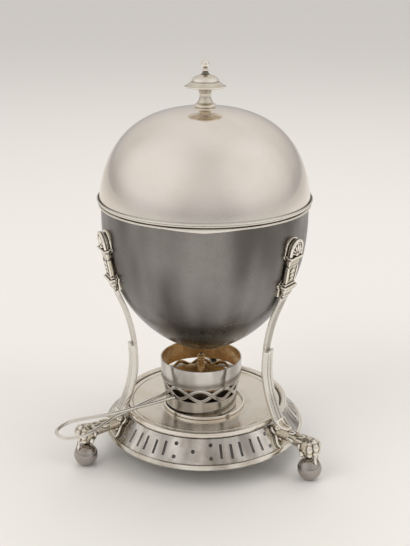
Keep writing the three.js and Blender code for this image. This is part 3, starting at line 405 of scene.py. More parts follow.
def rounded_box(centre, size, edge):
    """A box of x, y and z sizes whose edges are rounded."""
    skin = bmesh.new()
    bmesh.ops.create_cube(skin, size=1.0, matrix=Matrix.Diagonal((*size, 1)))
    bmesh.ops.bevel(skin, geom=list(skin.edges), offset=edge, segments=3, profile=0.5, affect="EDGES")
    vertices = [v.co + Vector(centre) for v in skin.verts]
    faces = [[v.index for v in f.verts] for f in skin.faces]
    skin.free()
    return vertices, faces


def extruded(outline, start, depth):
    """An outline in Y and Z, extruded from a start along +X."""
    return loft([[(x, y, z) for y, z in outline] for x in (start, start + depth)])


# Objects

def new_object(name, data):
    obj = bpy.data.objects.new(name, data)
    bpy.context.scene.collection.objects.link(obj)
    return obj


def smooth(obj):
    obj.data.shade_smooth()
    obj.data.set_sharp_from_angle(angle=SHARP)
    return obj


def mesh_object(name, vertices, faces):
    """A smooth-shaded object from points in millimetres. Its faces are turned outwards."""
    mesh = bpy.data.meshes.new(name)
    mesh.from_pydata([Vector(v) * MM for v in vertices], [], faces)
    skin = bmesh.new()
    skin.from_mesh(mesh)
    bmesh.ops.remove_doubles(skin, verts=skin.verts, dist=WELD)
    bmesh.ops.recalc_face_normals(skin, faces=skin.faces)
    skin.to_mesh(mesh)
    skin.free()
    return smooth(new_object(name, mesh))


def settled(obj):
    """Turns an object with modifiers into a plain mesh."""
    graph = bpy.context.evaluated_depsgraph_get()
    mesh = bpy.data.meshes.new_from_object(obj.evaluated_get(graph))
    obj.modifiers.clear()
    old = obj.data
    obj.data = mesh
    bpy.data.meshes.remove(old)
    return smooth(obj)


def fused(name, skin, grain, softening):
    """One flowing skin over overlapping shapes, remade from small even faces."""
    obj = mesh_object(name, *skin)
    remesh = obj.modifiers.new("fuse", "REMESH")
    remesh.mode = "VOXEL"
    remesh.voxel_size = grain * MM
    soften = obj.modifiers.new("soften", "SMOOTH")
    soften.iterations = softening
    soften.factor = 0.5
    return settled(obj)


def mark_hollows(obj, reach):
    """Stores on each point how far it lies in a hollow, from 0 on a crest to 1, in the attribute hollow."""
    mesh = obj.data
    count = len(mesh.vertices)
    places = np.zeros(count * 3, np.float32)
    mesh.vertices.foreach_get("co", places)
    places = places.reshape(-1, 3)
    normals = np.array([v.normal for v in mesh.vertices], np.float32).reshape(-1, 3)
    edges = np.zeros(len(mesh.edges) * 2, np.int32)
    mesh.edges.foreach_get("vertices", edges)
    a, b = edges.reshape(-1, 2).T
    across = places[b] - places[a]
    length = np.linalg.norm(across, axis=1) + 1e-9
    bend = np.zeros(count)
    neighbours = np.zeros(count)
    for ends, way in ((a, 1), (b, -1)):
        np.add.at(bend, ends, way * np.einsum("ij,ij->i", across, normals[ends]) / length)
        np.add.at(neighbours, ends, 1)
    bend /= np.maximum(neighbours, 1)
    for _ in range(2):
        total = bend.copy()
        np.add.at(total, a, bend[b])
        np.add.at(total, b, bend[a])
        bend = total / (neighbours + 1)
    attribute = mesh.attributes.new("hollow", "FLOAT", "POINT")
    attribute.data.foreach_set("value", np.clip(0.5 + bend * 4 * reach, 0, 1).astype(np.float32))


def finish_piece(obj, material, body, node, hollows=None):
    """Gives a piece its metal and its place in the frame, and marks its hollows if they have a reach."""
    if hollows:
        mark_hollows(obj, hollows)
    obj.data.materials.clear()
    obj.data.materials.append(material)
    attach(obj, body)
    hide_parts(node)
    return obj


def piece(node, skin, material, body="stand", hollows=None):
    """A node's fine piece, made from its skin and finished."""
    return finish_piece(mesh_object(f"{node}_fine", *skin), material, body, node, hollows)


def second_metal(obj, material, chosen):
    """Gives another metal to the faces that a test chooses."""
    obj.data.materials.append(material)
    for face in obj.data.polygons:
        face.material_index = int(chosen(face))


# Node trees

FLOAT = "NodeSocketFloat"
COLOUR = "NodeSocketColor"
GEOMETRY = "NodeSocketGeometry"
INTEGER = "NodeSocketInt"
MATERIAL = "NodeSocketMaterial"


def add(tree, kind, inputs=None, **settings):
    """A node with its settings, and its inputs set by name or number or joined to another node's output."""
    node = tree.nodes.new(kind)
    for key, value in settings.items():
        setattr(node, key, value)
    for key, value in (inputs or {}).items():
        if isinstance(value, bpy.types.NodeSocket):
            tree.links.new(value, node.inputs[key])
        else:
            node.inputs[key].default_value = value
    return node


def first_output(tree, kind, inputs=None, **settings):
    return add(tree, kind, inputs, **settings).outputs[0]


def math_node(tree, operation, a, b=0.0):
    return first_output(tree, "ShaderNodeMath", {0: a, 1: b}, operation=operation)


def plus(tree, a, b):
    return math_node(tree, "ADD", a, b)


def times(tree, a, b):
    return math_node(tree, "MULTIPLY", a, b)


def vector_node(tree, operation, *vectors):
    return first_output(tree, "ShaderNodeVectorMath", dict(enumerate(vectors)), operation=operation)


def xyz(tree, **parts):
    return first_output(tree, "ShaderNodeCombineXYZ", parts)


def new_group(name, kind, inputs, outputs):
    """A node group whose inputs and outputs are given as names and types."""
    tree = bpy.data.node_groups.new(name, kind)
    for way, sockets in (("INPUT", inputs), ("OUTPUT", outputs)):
        for label, socket in sockets.items():
            tree.interface.new_socket(label, in_out=way, socket_type=socket)
    return tree, tree.nodes.new("NodeGroupInput").outputs, tree.nodes.new("NodeGroupOutput").inputs


def new_shape_tree(name, counts, sizes):
    """A geometry tree with a shape, whole numbers, sizes and a metal as its inputs."""
    inputs = {"Geometry": GEOMETRY, **dict.fromkeys(counts, INTEGER), **dict.fromkeys(sizes, FLOAT)}
    inputs["Material"] = MATERIAL
    return new_group(name, "GeometryNodeTree", inputs, {"Geometry": GEOMETRY})


def end_tree(tree, shape, given, result):
    """Real faces and their metal, as the last two nodes."""
    real = first_output(tree, "GeometryNodeRealizeInstances", {0: shape})
    dressed = first_output(tree, "GeometryNodeSetMaterial", {"Geometry": real, "Material": given["Material"]})
    tree.links.new(dressed, result["Geometry"])
    return tree


def run_nodes(obj, tree, values):
    """Runs a geometry tree on an object with its named inputs set, and keeps the result as a plain mesh."""
    modifier = obj.modifiers.new(tree.name, "NODES")
    modifier.node_group = tree
    for item in tree.interface.items_tree:
        if item.in_out == "INPUT" and item.name in values:
            modifier[item.identifier] = values[item.name]
    return settled(obj)


def moved(tree, shape, place=(0, 0, 0), turn=(0, 0, 0)):
    return first_output(tree, "GeometryNodeTransform", {
        "Geometry": shape, "Translation": place, "Rotation": turn})


def joined(tree, *shapes):
    node = add(tree, "GeometryNodeJoinGeometry")
    for shape in reversed(shapes):
        tree.links.new(shape, node.inputs[0])
    return node.outputs[0]


def rod(tree, given, sides):
    return first_output(tree, "GeometryNodeMeshCylinder", {
        "Vertices": sides, "Radius": given["Hole Radius"], "Depth": given["Punch"]})


def pierced(tree, given, tools):
    """The given shape with tools cut out of it."""
    return first_output(tree, "GeometryNodeMeshBoolean", {
        0: given["Geometry"], 1: first_output(tree, "GeometryNodeRealizeInstances", {0: tools}),
    }, operation="DIFFERENCE", solver="EXACT")


def copies_round_axis():
    """Copies of a shape turned about Z by even steps."""
    tree, given, result = new_group("Copies Round Axis", "GeometryNodeTree", {
        "Geometry": GEOMETRY, "Count": INTEGER, **dict.fromkeys(("Start", "Step", "Wander"), FLOAT),
    }, {"Geometry": GEOMETRY})
    line = first_output(tree, "GeometryNodeMeshLine", {"Count": given["Count"], "Offset": (0, 0, 0)})
    index = first_output(tree, "GeometryNodeInputIndex")
    angle = plus(tree, times(tree, index, given["Step"]), given["Start"])
    wander = first_output(tree, "FunctionNodeRandomValue", {"Min": (-1, -1, -1), "Max": (1, 1, 1), "Seed": 7},
                          data_type="FLOAT_VECTOR")
    share = first_output(tree, "ShaderNodeVectorMath", {
        0: wander, "Scale": given["Wander"]}, operation="SCALE")
    turn = vector_node(tree, "ADD", xyz(tree, Z=angle), share)
    spread = first_output(tree, "GeometryNodeInstanceOnPoints", {
        "Points": line, "Instance": given["Geometry"], "Rotation": turn})
    tree.links.new(spread, result["Geometry"])
    return tree


COPIES = copies_round_axis()


def copies(tree, shape, count, start, step, wander=0.0):
    """Turned copies of a shape, inside a tree."""
    return first_output(tree, "GeometryNodeGroup", {
        "Geometry": shape, "Count": count, "Start": start, "Step": step, "Wander": wander,
    }, node_tree=COPIES)


def gallery_piercing():
    """Cuts rows of slots and round holes through a sloping band, sector by sector."""
    tree, given, result = new_shape_tree("Gallery Piercing", ("Sectors", "Slots"), (
        "Slot Width", "Slot Length", "Hole Radius", "Hole Row", "First Column", "Pitch", "Punch", "Slope",
        "Radius", "Height", "Start"))
    lay = xyz(tree, Y=times(tree, given["Slope"], -1.0))
    seat = xyz(tree, X=given["Radius"], Z=given["Height"])
    size = xyz(tree, X=given["Punch"], Y=given["Slot Width"], Z=given["Slot Length"])
    slot = moved(tree, first_output(tree, "GeometryNodeMeshCube", {"Size": size}), seat, lay)
    hole = moved(tree, rod(tree, given, HOLE_FACETS), turn=(0, math.pi / 2, 0))
    rows = [moved(tree, hole, xyz(tree, Z=times(tree, given["Hole Row"], side))) for side in (1.0, -1.0)]
    pair = moved(tree, joined(tree, *rows), seat, lay)
    parts = [moved(tree, hole, seat, lay)]
    last = plus(tree, given["Slots"], 1.0)
    for side in (1.0, -1.0):
        pitch = times(tree, given["Pitch"], side)
        first = times(tree, given["First Column"], side)
        parts.append(copies(tree, slot, given["Slots"], plus(tree, first, pitch), pitch, SLOT_WANDER))
        parts.append(copies(tree, pair, 2, first, times(tree, pitch, last)))
    sector = math_node(tree, "DIVIDE", TURN, given["Sectors"])
    tools = copies(tree, joined(tree, *parts), given["Sectors"], given["Start"], sector)
    return end_tree(tree, pierced(tree, given, tools), given, result)


def round_piercing():
    """Cuts even round holes, on a circle, through a level disc."""
    tree, given, result = new_shape_tree("Round Piercing", ("Count",), (
        "Circle", "Hole Radius", "Height", "Punch", "Start"))
    tool = moved(tree, rod(tree, given, EGG_HOLE_FACETS), xyz(tree, X=given["Circle"], Z=given["Height"]))
    step = math_node(tree, "DIVIDE", TURN, given["Count"])
    tools = copies(tree, tool, given["Count"], given["Start"], step)
    return end_tree(tree, pierced(tree, given, tools), given, result)


def interlace():
    """Two flat strips that wave round a cone and pass over and under each other."""
    tree, given, result = new_shape_tree("Interlace", ("Eyes",), (
        "Swing", "Width", "Depth", "Radius", "Lean", "Height", "Weave", "Start"))
    points_per_eye = 24.0
    points = times(tree, given["Eyes"], points_per_eye)
    index = first_output(tree, "GeometryNodeInputIndex")
    angle = math_node(tree, "DIVIDE", times(tree, index, TURN), points)
    wave = times(tree, times(tree, angle, given["Eyes"]), 0.5)
    azimuth = plus(tree, angle, given["Start"])
    strip = first_output(tree, "GeometryNodeCurvePrimitiveQuadrilateral", {
        "Width": given["Depth"], "Height": given["Width"]})
    section = first_output(tree, "GeometryNodeFilletCurve", {
        "Curve": strip, "Radius": times(tree, given["Depth"], 0.45), "Count": 3}, mode="POLY")
    strips = []
    for side in (1.0, -1.0):
        rise = times(tree, math_node(tree, "COSINE", wave), times(tree, given["Swing"], side))
        over = times(tree, math_node(tree, "SINE", wave), times(tree, given["Weave"], side))
        radius = plus(tree, plus(tree, given["Radius"], times(tree, rise, given["Lean"])), over)
        place = xyz(tree, X=times(tree, radius, math_node(tree, "COSINE", azimuth)),
                    Y=times(tree, radius, math_node(tree, "SINE", azimuth)),
                    Z=plus(tree, rise, given["Height"]))
        ring = first_output(tree, "GeometryNodeCurvePrimitiveCircle", {"Resolution": points})
        line = first_output(tree, "GeometryNodeSetPosition", {"Geometry": ring, "Position": place})
        level = first_output(tree, "GeometryNodeSetCurveNormal", {"Curve": line}, mode="Z_UP")
        strips.append(first_output(tree, "GeometryNodeCurveToMesh", {
            "Curve": level, "Profile Curve": section}))
    return end_tree(tree, joined(tree, given["Geometry"], *strips), given, result)


GALLERY_PIERCING = gallery_piercing()
ROUND_PIERCING = round_piercing()
INTERLACE = interlace()


# Finishes: effects shared by several metals

def object_place(tree):
    return add(tree, "ShaderNodeTexCoord").outputs["Object"]


def noise(tree, vector, scale, detail=3.0, roughness=0.5):
    return first_output(tree, "ShaderNodeTexNoise", {
        "Vector": vector, "Scale": scale, "Detail": detail, "Roughness": roughness})


def between(tree, value, start, end, low_value=0.0, high_value=1.0):
    """A value's place between a start and an end, held there, as a share of two others."""
    return first_output(tree, "ShaderNodeMapRange", {
        "Value": value, "From Min": start, "From Max": end, "To Min": low_value, "To Max": high_value,
    }, interpolation_type="SMOOTHSTEP")


def mixed(tree, share, first, second):
    return add(tree, "ShaderNodeMix", {0: share, 6: first, 7: second}, data_type="RGBA").outputs[2]


def worn_plate():
    """Cloudy toning in patches, faint polishing marks and fine scratches."""
    tree, given, result = new_group("Worn Plate", "ShaderNodeTree", {
        "Colour": COLOUR, "Tone": COLOUR, **dict.fromkeys(("Toning", "Patch", "Roughness", "Marks"), FLOAT),
    }, {"Colour": COLOUR, "Roughness": FLOAT, "Height": FLOAT})
    place = object_place(tree)
    patches = between(tree, noise(tree, place, given["Patch"], 4.0, 0.6), 0.42, 0.72)
    freckle = between(tree, noise(tree, place, 900.0, 2.0), 0.5, 0.8, 0.0, 0.35)
    spread = times(tree, plus(tree, patches, freckle), given["Toning"])
    scratches = []
    for turn, scale in (((0.3, 0.2, 0.9), (60, 2600, 900)), ((0.9, 0.5, -0.6), (2200, 70, 1200))):
        lines = first_output(tree, "ShaderNodeMapping", {"Vector": place, "Rotation": turn, "Scale": scale})
        scratches.append(between(tree, noise(tree, lines, 1.0, 1.0), 0.66, 0.74))
    scratch = math_node(tree, "MAXIMUM", *scratches)
    haze = between(tree, noise(tree, place, 70.0, 3.0), 0.35, 0.75)
    marks = plus(tree, times(tree, haze, 0.6), times(tree, scratch, 0.8))
    tree.links.new(mixed(tree, spread, given["Colour"], given["Tone"]), result["Colour"])
    tree.links.new(plus(tree, given["Roughness"], times(tree, marks, given["Marks"])), result["Roughness"])
    tree.links.new(math_node(tree, "SUBTRACT", 1.0, scratch), result["Height"])
    return tree


def hollow_toning_and_highlight():
    """Dark toning left in the hollows, where polishing doesn't reach, and a bright colour on crests: worn
    metal with a painted highlight.
    """
    tree, given, result = new_group("Hollow Toning And Highlight", "ShaderNodeTree", {
        **dict.fromkeys(("Colour", "Dark", "Bright"), COLOUR), "Depth": FLOAT,
    }, {"Colour": COLOUR, "Mask": FLOAT})
    bend = add(tree, "ShaderNodeAttribute", attribute_name="hollow").outputs["Fac"]
    grain = math_node(tree, "SUBTRACT", noise(tree, object_place(tree), 1400.0, 3.0), 0.5)
    shifted = plus(tree, bend, times(tree, grain, 0.25))
    mask = times(tree, between(tree, shifted, 0.5, 0.66), given["Depth"])
    # crests take the bright colour: worn metal with a painted highlight
    worn = mixed(tree, between(tree, shifted, 0.46, 0.3), given["Colour"], given["Bright"])
    tree.links.new(mixed(tree, mask, worn, given["Dark"]), result["Colour"])
    tree.links.new(mask, result["Mask"])
    return tree


def round_painted_sheen():
    """Painted sheen: soft upright bands of brighter colour round an axis, standing in for reflected light on
    spun metal.
    """
    tree, given, result = new_group("Round Painted Sheen", "ShaderNodeTree", {
        "Centre": "NodeSocketVector", "Bands": FLOAT, "Climb": FLOAT}, {"Mask": FLOAT})
    from_axis = vector_node(tree, "SUBTRACT", object_place(tree), given["Centre"])
    spoke = vector_node(tree, "NORMALIZE", vector_node(tree, "MULTIPLY", from_axis, LEVEL))
    height = add(tree, "ShaderNodeSeparateXYZ", {0: from_axis}).outputs["Z"]
    place = vector_node(tree, "ADD", spoke, xyz(tree, Z=times(tree, height, given["Climb"])))
    tree.links.new(between(tree, noise(tree, place, given["Bands"], 2.0), 0.35, 0.68), result["Mask"])
    return tree


WORN_PLATE = worn_plate()
HOLLOW_TONING_AND_HIGHLIGHT = hollow_toning_and_highlight()
ROUND_SHEEN = round_painted_sheen()


# Metals and the wick's cotton

def colour(red, green, blue):
    return (red, green, blue, 1.0)


AGED = colour(0.56, 0.41, 0.24)
BROWN = colour(0.26, 0.18, 0.11)
SOOT = colour(0.07, 0.055, 0.04)
# The next two colours paint crests: worn metal with a painted highlight.
WORN_HIGHLIGHT = colour(0.93, 0.89, 0.82)
RUBBED_HIGHLIGHT = colour(0.78, 0.75, 0.70)
SHEEN_CLIMB = 6.0  # how fast the bands change upwards
SCRATCH_DEPTH = 0.00001


def group_in(tree, group, inputs):
    return add(tree, "ShaderNodeGroup", inputs, node_tree=group).outputs


def new_material(name):
    """A material, its node tree and its shader's inputs."""
    material = bpy.data.materials.new(name)
    material.use_nodes = True
    return material, material.node_tree, material.node_tree.nodes["Principled BSDF"].inputs


def metal(name, shade, tone, toning=0.2, patch=30.0, roughness=0.12, marks=0.06, crest=None, depth=0.8,
          sheen_bands=None, anisotropy=0.0):
    """Plate of a shade, toned in patches. With a crest colour it is sooty in its hollows and takes that
    colour on its crests, partly as worn metal and partly as a painted highlight. Sheen bands are painted
    sheen: soft upright bands of brighter colour, given by their axis, number and colour."""
    material, tree, shader = new_material(name)
    shader["Metallic"].default_value = 1.0
    shader["Anisotropic"].default_value = anisotropy
    if sheen_bands:
        centre, bands, bright = sheen_bands
        mask = group_in(tree, ROUND_SHEEN, {
            "Centre": tuple(centre * MM), "Bands": bands, "Climb": SHEEN_CLIMB})["Mask"]
        # painted sheen: brighter upright bands mixed into the shade
        shade = mixed(tree, mask, shade, bright)
    worn = group_in(tree, WORN_PLATE, {
        "Colour": shade, "Tone": tone, "Toning": toning, "Patch": patch,
        "Roughness": roughness, "Marks": marks})
    surface = worn["Colour"]
    rough = worn["Roughness"]
    if crest:
        # sooty hollows, and crests in the crest colour as worn metal with a painted highlight
        hollow = group_in(tree, HOLLOW_TONING_AND_HIGHLIGHT, {
            "Colour": surface, "Dark": SOOT, "Bright": crest, "Depth": depth})
        surface = hollow["Colour"]
        rough = plus(tree, rough, times(tree, hollow["Mask"], 0.25))
    relief = first_output(tree, "ShaderNodeBump", {
        "Height": worn["Height"], "Strength": 0.35, "Distance": SCRATCH_DEPTH})
    for value, socket in ((surface, "Base Color"), (rough, "Roughness"), (relief, "Normal")):
        tree.links.new(value, shader[socket])
    return material


def twisted_cotton():
    """Cream cotton with the lay of a twisted wick and a scorched end."""
    material, tree, shader = new_material("Twisted Cotton")
    place = first_output(tree, "ShaderNodeMapping", {"Vector": object_place(tree), "Rotation": (0, 0.6, 0)})
    lay = add(tree, "ShaderNodeTexWave", {
        "Vector": place, "Scale": 600.0, "Distortion": 1.2}, bands_direction="Z").outputs[1]
    height = add(tree, "ShaderNodeSeparateXYZ", {0: object_place(tree)}).outputs["Z"]
    scorch = between(tree, height, (SHELL_RIM + 0.6) * MM, (SHELL_RIM + 1.8) * MM)
    cream = mixed(tree, lay, colour(0.45, 0.38, 0.27), colour(0.74, 0.68, 0.55))
    tree.links.new(mixed(tree, scorch, cream, colour(0.06, 0.045, 0.035)), shader["Base Color"])
    shader["Roughness"].default_value = 0.95
    relief = first_output(tree, "ShaderNodeBump", {
        "Height": plus(tree, lay, noise(tree, place, 3000.0)), "Strength": 0.8, "Distance": 0.0001})
    tree.links.new(relief, shader["Normal"])
    return material


LID_SILVER = metal("Lid Silver", colour(0.90, 0.85, 0.80), AGED, patch=12, roughness=0.1)
BASE_SILVER = metal("Base Silver", colour(0.80, 0.75, 0.67), AGED, toning=0.4, patch=38, roughness=0.16,
                    crest=WORN_HIGHLIGHT, depth=0.9)
# The gallery, rim, leg, ball, casting and burner shades are darker than the lid's silver: a painted dark
# reflection on the same plate.
GALLERY_SILVER = metal("Gallery Silver", colour(0.36, 0.335, 0.31), BROWN, toning=0.45, patch=60,
                       roughness=0.15, sheen_bands=(AXIS, 4.5, colour(0.86, 0.83, 0.79)))
RIM_SILVER = metal("Rim Silver", colour(0.48, 0.45, 0.40), AGED, toning=0.3, patch=80,
                   crest=RUBBED_HIGHLIGHT, depth=0.95, sheen_bands=(AXIS, 3.4, colour(0.90, 0.87, 0.81)))
LEG_SILVER = metal("Leg Silver", colour(0.47, 0.45, 0.41), BROWN, toning=0.4, patch=90, roughness=0.15,
                   crest=RUBBED_HIGHLIGHT, depth=1.0)
BALL_SILVER = metal("Ball Silver", colour(0.42, 0.39, 0.37), BROWN, toning=0.4, patch=200, roughness=0.13)
CAST_SILVER = metal("Cast Silver", colour(0.56, 0.51, 0.42), AGED, toning=0.4, patch=120, roughness=0.16,
                    crest=WORN_HIGHLIGHT, depth=0.95)
FINIAL_SILVER = metal("Finial Silver", colour(0.74, 0.69, 0.60), AGED, toning=0.3, patch=150, crest=WORN_HIGHLIGHT)
# Painted dark reflection: the bowl is the lid's pale silver plate, shaded near-black here, with painted sheen
# bands.
BOWL_SILVER = metal("Spun Bowl", colour(0.115, 0.108, 0.102), colour(0.085, 0.072, 0.06), toning=0.3,
                    patch=22, roughness=0.26, marks=0.1, sheen_bands=(AXIS, 1.7, colour(0.29, 0.28, 0.27)),
                    anisotropy=0.5)
BOWL_INSIDE = metal("Bowl Inside", colour(0.66, 0.64, 0.60), AGED, toning=0.25, roughness=0.3)
BURNER_SILVER = metal("Burner Silver", colour(0.40, 0.38, 0.36), BROWN, toning=0.3, patch=60, roughness=0.18,
                      sheen_bands=(BURNER_AXIS, 2.4, colour(0.72, 0.70, 0.67)))
HEATED_PLATE = metal("Heated Plate", colour(0.70, 0.51, 0.27), colour(0.34, 0.18, 0.08), toning=0.5, patch=70,
                     roughness=0.24, marks=0.12)
DULL_PLATE = metal("Dull Plate", colour(0.22, 0.18, 0.13), colour(0.10, 0.07, 0.05), toning=0.6, patch=90,
                   roughness=0.5, marks=0.1)
# A near-black painted shade, given to the base plate's underside.
UNDERSIDE_SHADE = metal("Painted Underside Shade", colour(0.045, 0.038, 0.032), SOOT, toning=0.5, patch=60, roughness=0.8)
RACK_SILVER = metal("Rack Silver", colour(0.80, 0.78, 0.74), AGED, toning=0.3, patch=50, roughness=0.18)
COTTON = twisted_cotton()


# Base

def fine_ring(node, inner, edge=0.25, axis=AXIS, facets=FACETS, above=0.0):
    """A turned ring with softened edges, as wide and as high as its node, or a little above it."""
    bottom, top = heights(node)
    outer = half_width(node)
    corners = ((inner, bottom), (outer, bottom), (outer, top + above), (inner, top + above))
    return turned(eased([(*corner, edge) for corner in corners]), facets, axis)


def fine_disc(node, edge, axis=AXIS, facets=FACETS):
    """A turned disc or rod with softened edges, as deep and as high as its node."""
    bottom, top = heights(node)
    radius = half_depth(node)
    outline = [(0, bottom), (radius, bottom, edge), (radius, top, edge), (0, top)]
    return turned(eased(outline, closed=False), facets, axis)


def base_plate():
    inside_bead = SHOULDER_RADIUS - BEAD_RADIUS
    groove = inside_bead - GROOVE_WIDTH
    fine = inside_bead - 3 * GROOVE_WIDTH

    def slope_at(radius):
        return PLATE_TOP + PLATE_DISH * (radius - PLATE_FLAT) / (groove - PLATE_FLAT)

    outline = eased([
        (0, PLATE_TOP),
        (PLATE_FLAT, PLATE_TOP, 3.0),
        (fine - FINE_GROOVE, slope_at(fine - FINE_GROOVE), 0.1),
        (fine, slope_at(fine) - FINE_GROOVE, 0.1),
        (fine + FINE_GROOVE, slope_at(fine + FINE_GROOVE), 0.1),
        (groove, SHOULDER_TOP, 0.2),
        (inside_bead - GROOVE_WIDTH / 2, SHOULDER_TOP - GROOVE_DEPTH, 0.2),
        *arc(SHOULDER_RADIUS, SHOULDER_TOP, BEAD_RADIUS, math.pi, -math.pi / 2, 24),
        (groove, SHOULDER_TOP - BEAD_RADIUS, 0.3),
        (PLATE_FLAT, PLATE_TOP - SHEET, 3.0),
        (0, PLATE_TOP - SHEET),
    ], closed=False)
    obj = piece("base_plate", turned(outline), BASE_SILVER, hollows=0.5)
    # the underside gets painted shade
    second_metal(obj, UNDERSIDE_SHADE, lambda face: face.normal.z < LOOKS_DOWN)


def burner_collar():
    outer = half_width("burner_collar")
    inner = outer - 1.1
    bottom, top = heights("burner_collar")
    section = [(inner, bottom), (outer, bottom), (outer, top, 0.5), (inner, top, 0.4)]
    piece("burner_collar", turned(eased(section)), BASE_SILVER, hollows=1.0)


def gallery():
    """A hollow slope of sheet, pierced."""
    head = Vector((GALLERY_RADIUS - GALLERY_SPREAD, GALLERY_TOP))
    foot = Vector((GALLERY_RADIUS, GALLERY_FOOT))
    centre = (head + foot) / 2
    sag = Vector((-math.cos(GALLERY_SLOPE), -math.sin(GALLERY_SLOPE))) * GALLERY_HOLLOW * 4 / 3
    face = curved([head, head.lerp(foot, 0.3) + sag, head.lerp(foot, 0.7) + sag, foot], 8)
    skin = turned([*face, *reversed(beside(face, -GALLERY_WALL))], BAND_FACETS, Vector())
    obj = run_nodes(mesh_object("gallery_fine", *skin), GALLERY_PIERCING, {
        "Sectors": LEG_COUNT, "Slots": SLOTS_PER_SIDE, "Slot Width": SLOT_WIDTH * MM,
        "Slot Length": SLOT_LENGTH * MM, "Hole Radius": HOLE_RADIUS * MM, "Hole Row": HOLE_ROW * MM,
        "First Column": FIRST_COLUMN, "Pitch": PIERCING_PITCH, "Punch": 6 * GALLERY_WALL * MM,
        "Slope": GALLERY_SLOPE, "Radius": centre.x * MM, "Height": centre.y * MM,
        "Start": BACK_LEG + math.pi / LEG_COUNT, "Material": GALLERY_SILVER,
    })
    obj.data.transform(Matrix.Translation(AXIS * MM))
    finish_piece(obj, GALLERY_SILVER, "stand", "gallery")


def base_rim():
    bottom, top = heights("base_rim")
    wire = (top - bottom) / 2
    outline = circle(half_width("base_rim") - wire, middle("base_rim").z, wire, 24)
    piece("base_rim", turned(outline), RIM_SILVER, hollows=0.2)


# Bowl and lid

BOWL_CURVE = [
    *curved([
        (0, BOWL_BOTTOM),
        (BOWL_RADIUS * BOWL_BOTTOM_SPREAD, BOWL_BOTTOM),
        (BOWL_RADIUS, BOWL_MOUTH - BOWL_STRAIGHT
         - BOWL_SIDE_REACH * (BOWL_MOUTH - BOWL_BOTTOM - BOWL_STRAIGHT)),
        (BOWL_RADIUS, BOWL_MOUTH - BOWL_STRAIGHT),
    ], SHELL_STEPS),
    (BOWL_RADIUS, BOWL_MOUTH - BOWL_STRAIGHT / 2),
    (BOWL_RADIUS, BOWL_MOUTH),
]


def hollow_shell(node, outside, inside, material, body, mouth):
    """A turned sheet that is brighter inside, where its faces look at the middle of its mouth."""
    obj = piece(node, turned([*outside, *reversed(inside)], SHELL_FACETS), material, body)
    centre = (AXIS + UP * mouth) * MM
    second_metal(obj, BOWL_INSIDE, lambda face: face.normal.dot(face.center - centre) < 0)


def bowl():
    inside = beside(BOWL_CURVE, SHEET)
    inside[0] = (0, inside[0][1])
    inside[-1] = (inside[-1][0], BOWL_MOUTH)
    hollow_shell("bowl", BOWL_CURVE, inside, BOWL_SILVER, "stand", BOWL_MOUTH)


def bowl_rim():
    """A moulded band whose lower edge comes to a shallow point at the front."""
    proud = RIM_BAND_PROUD
    rings = []
    for azimuth in angles(BAND_FACETS):
        spoke = Vector((math.cos(azimuth), math.sin(azimuth), 0))
        away = abs(math.remainder(azimuth - FRONT, TURN))
        drop = RIM_BAND_HEIGHT + RIM_POINT_DROP * max(0.0, 1 - away / RIM_POINT_HALF_WIDTH)
        section = eased([
            (0.05, 0), (proud * 0.8, 0, 0.3), (proud * 0.8, -0.8, 0.3), (0.3, -1.0, 0.15), (0.3, -1.45, 0.15),
            (proud, -1.7, 0.4), (proud, 0.5 - drop, 0.5), (proud * 0.5, -drop, 0.3), (0.05, -drop),
        ], steps=3)
        rings.append([AXIS + spoke * (BOWL_RADIUS + r) + UP * (BOWL_MOUTH + z) for r, z in section])
    piece("bowl_rim", loft(rings, closed=True), RIM_SILVER, hollows=0.6)


def lid_dome():
    outside = curved([
        (DOME_RADIUS, DOME_FOOT),
        (DOME_RADIUS - DOME_LEAN, DOME_FOOT + DOME_SIDE_REACH * (DOME_TOP - DOME_FOOT)),
        (DOME_RADIUS * DOME_CROWN_SPREAD, DOME_TOP),
        (STUD_HOLE, DOME_TOP),
    ], SHELL_STEPS)
    inside = beside(outside, SHEET)
    inside[0] = (inside[0][0], DOME_FOOT)
    inside[-1] = (STUD_HOLE, inside[-1][1])
    hollow_shell("lid_dome", outside, inside, LID_SILVER, "lid", DOME_FOOT)


def lid_lip():
    edge = (LIP_TOP - LIP_BOTTOM) / 2
    outline = [
        (BEZEL_INSIDE, LIP_BOTTOM),
        *arc(LIP_RADIUS - edge, LIP_BOTTOM + edge, edge, -math.pi / 2, math.pi / 2, 10),
        (DOME_RADIUS + 0.8, LIP_TOP - 0.1),
        (DOME_RADIUS + 0.45, LIP_TOP - 0.45),
        (DOME_RADIUS + 0.1, LIP_TOP - 0.45),
        (DOME_RADIUS - 0.05, LIP_TOP + 0.2),
        (BEZEL_INSIDE, LIP_TOP + 0.2),
    ]
    piece("lid_lip", turned(outline), RIM_SILVER, "lid", hollows=1.0)


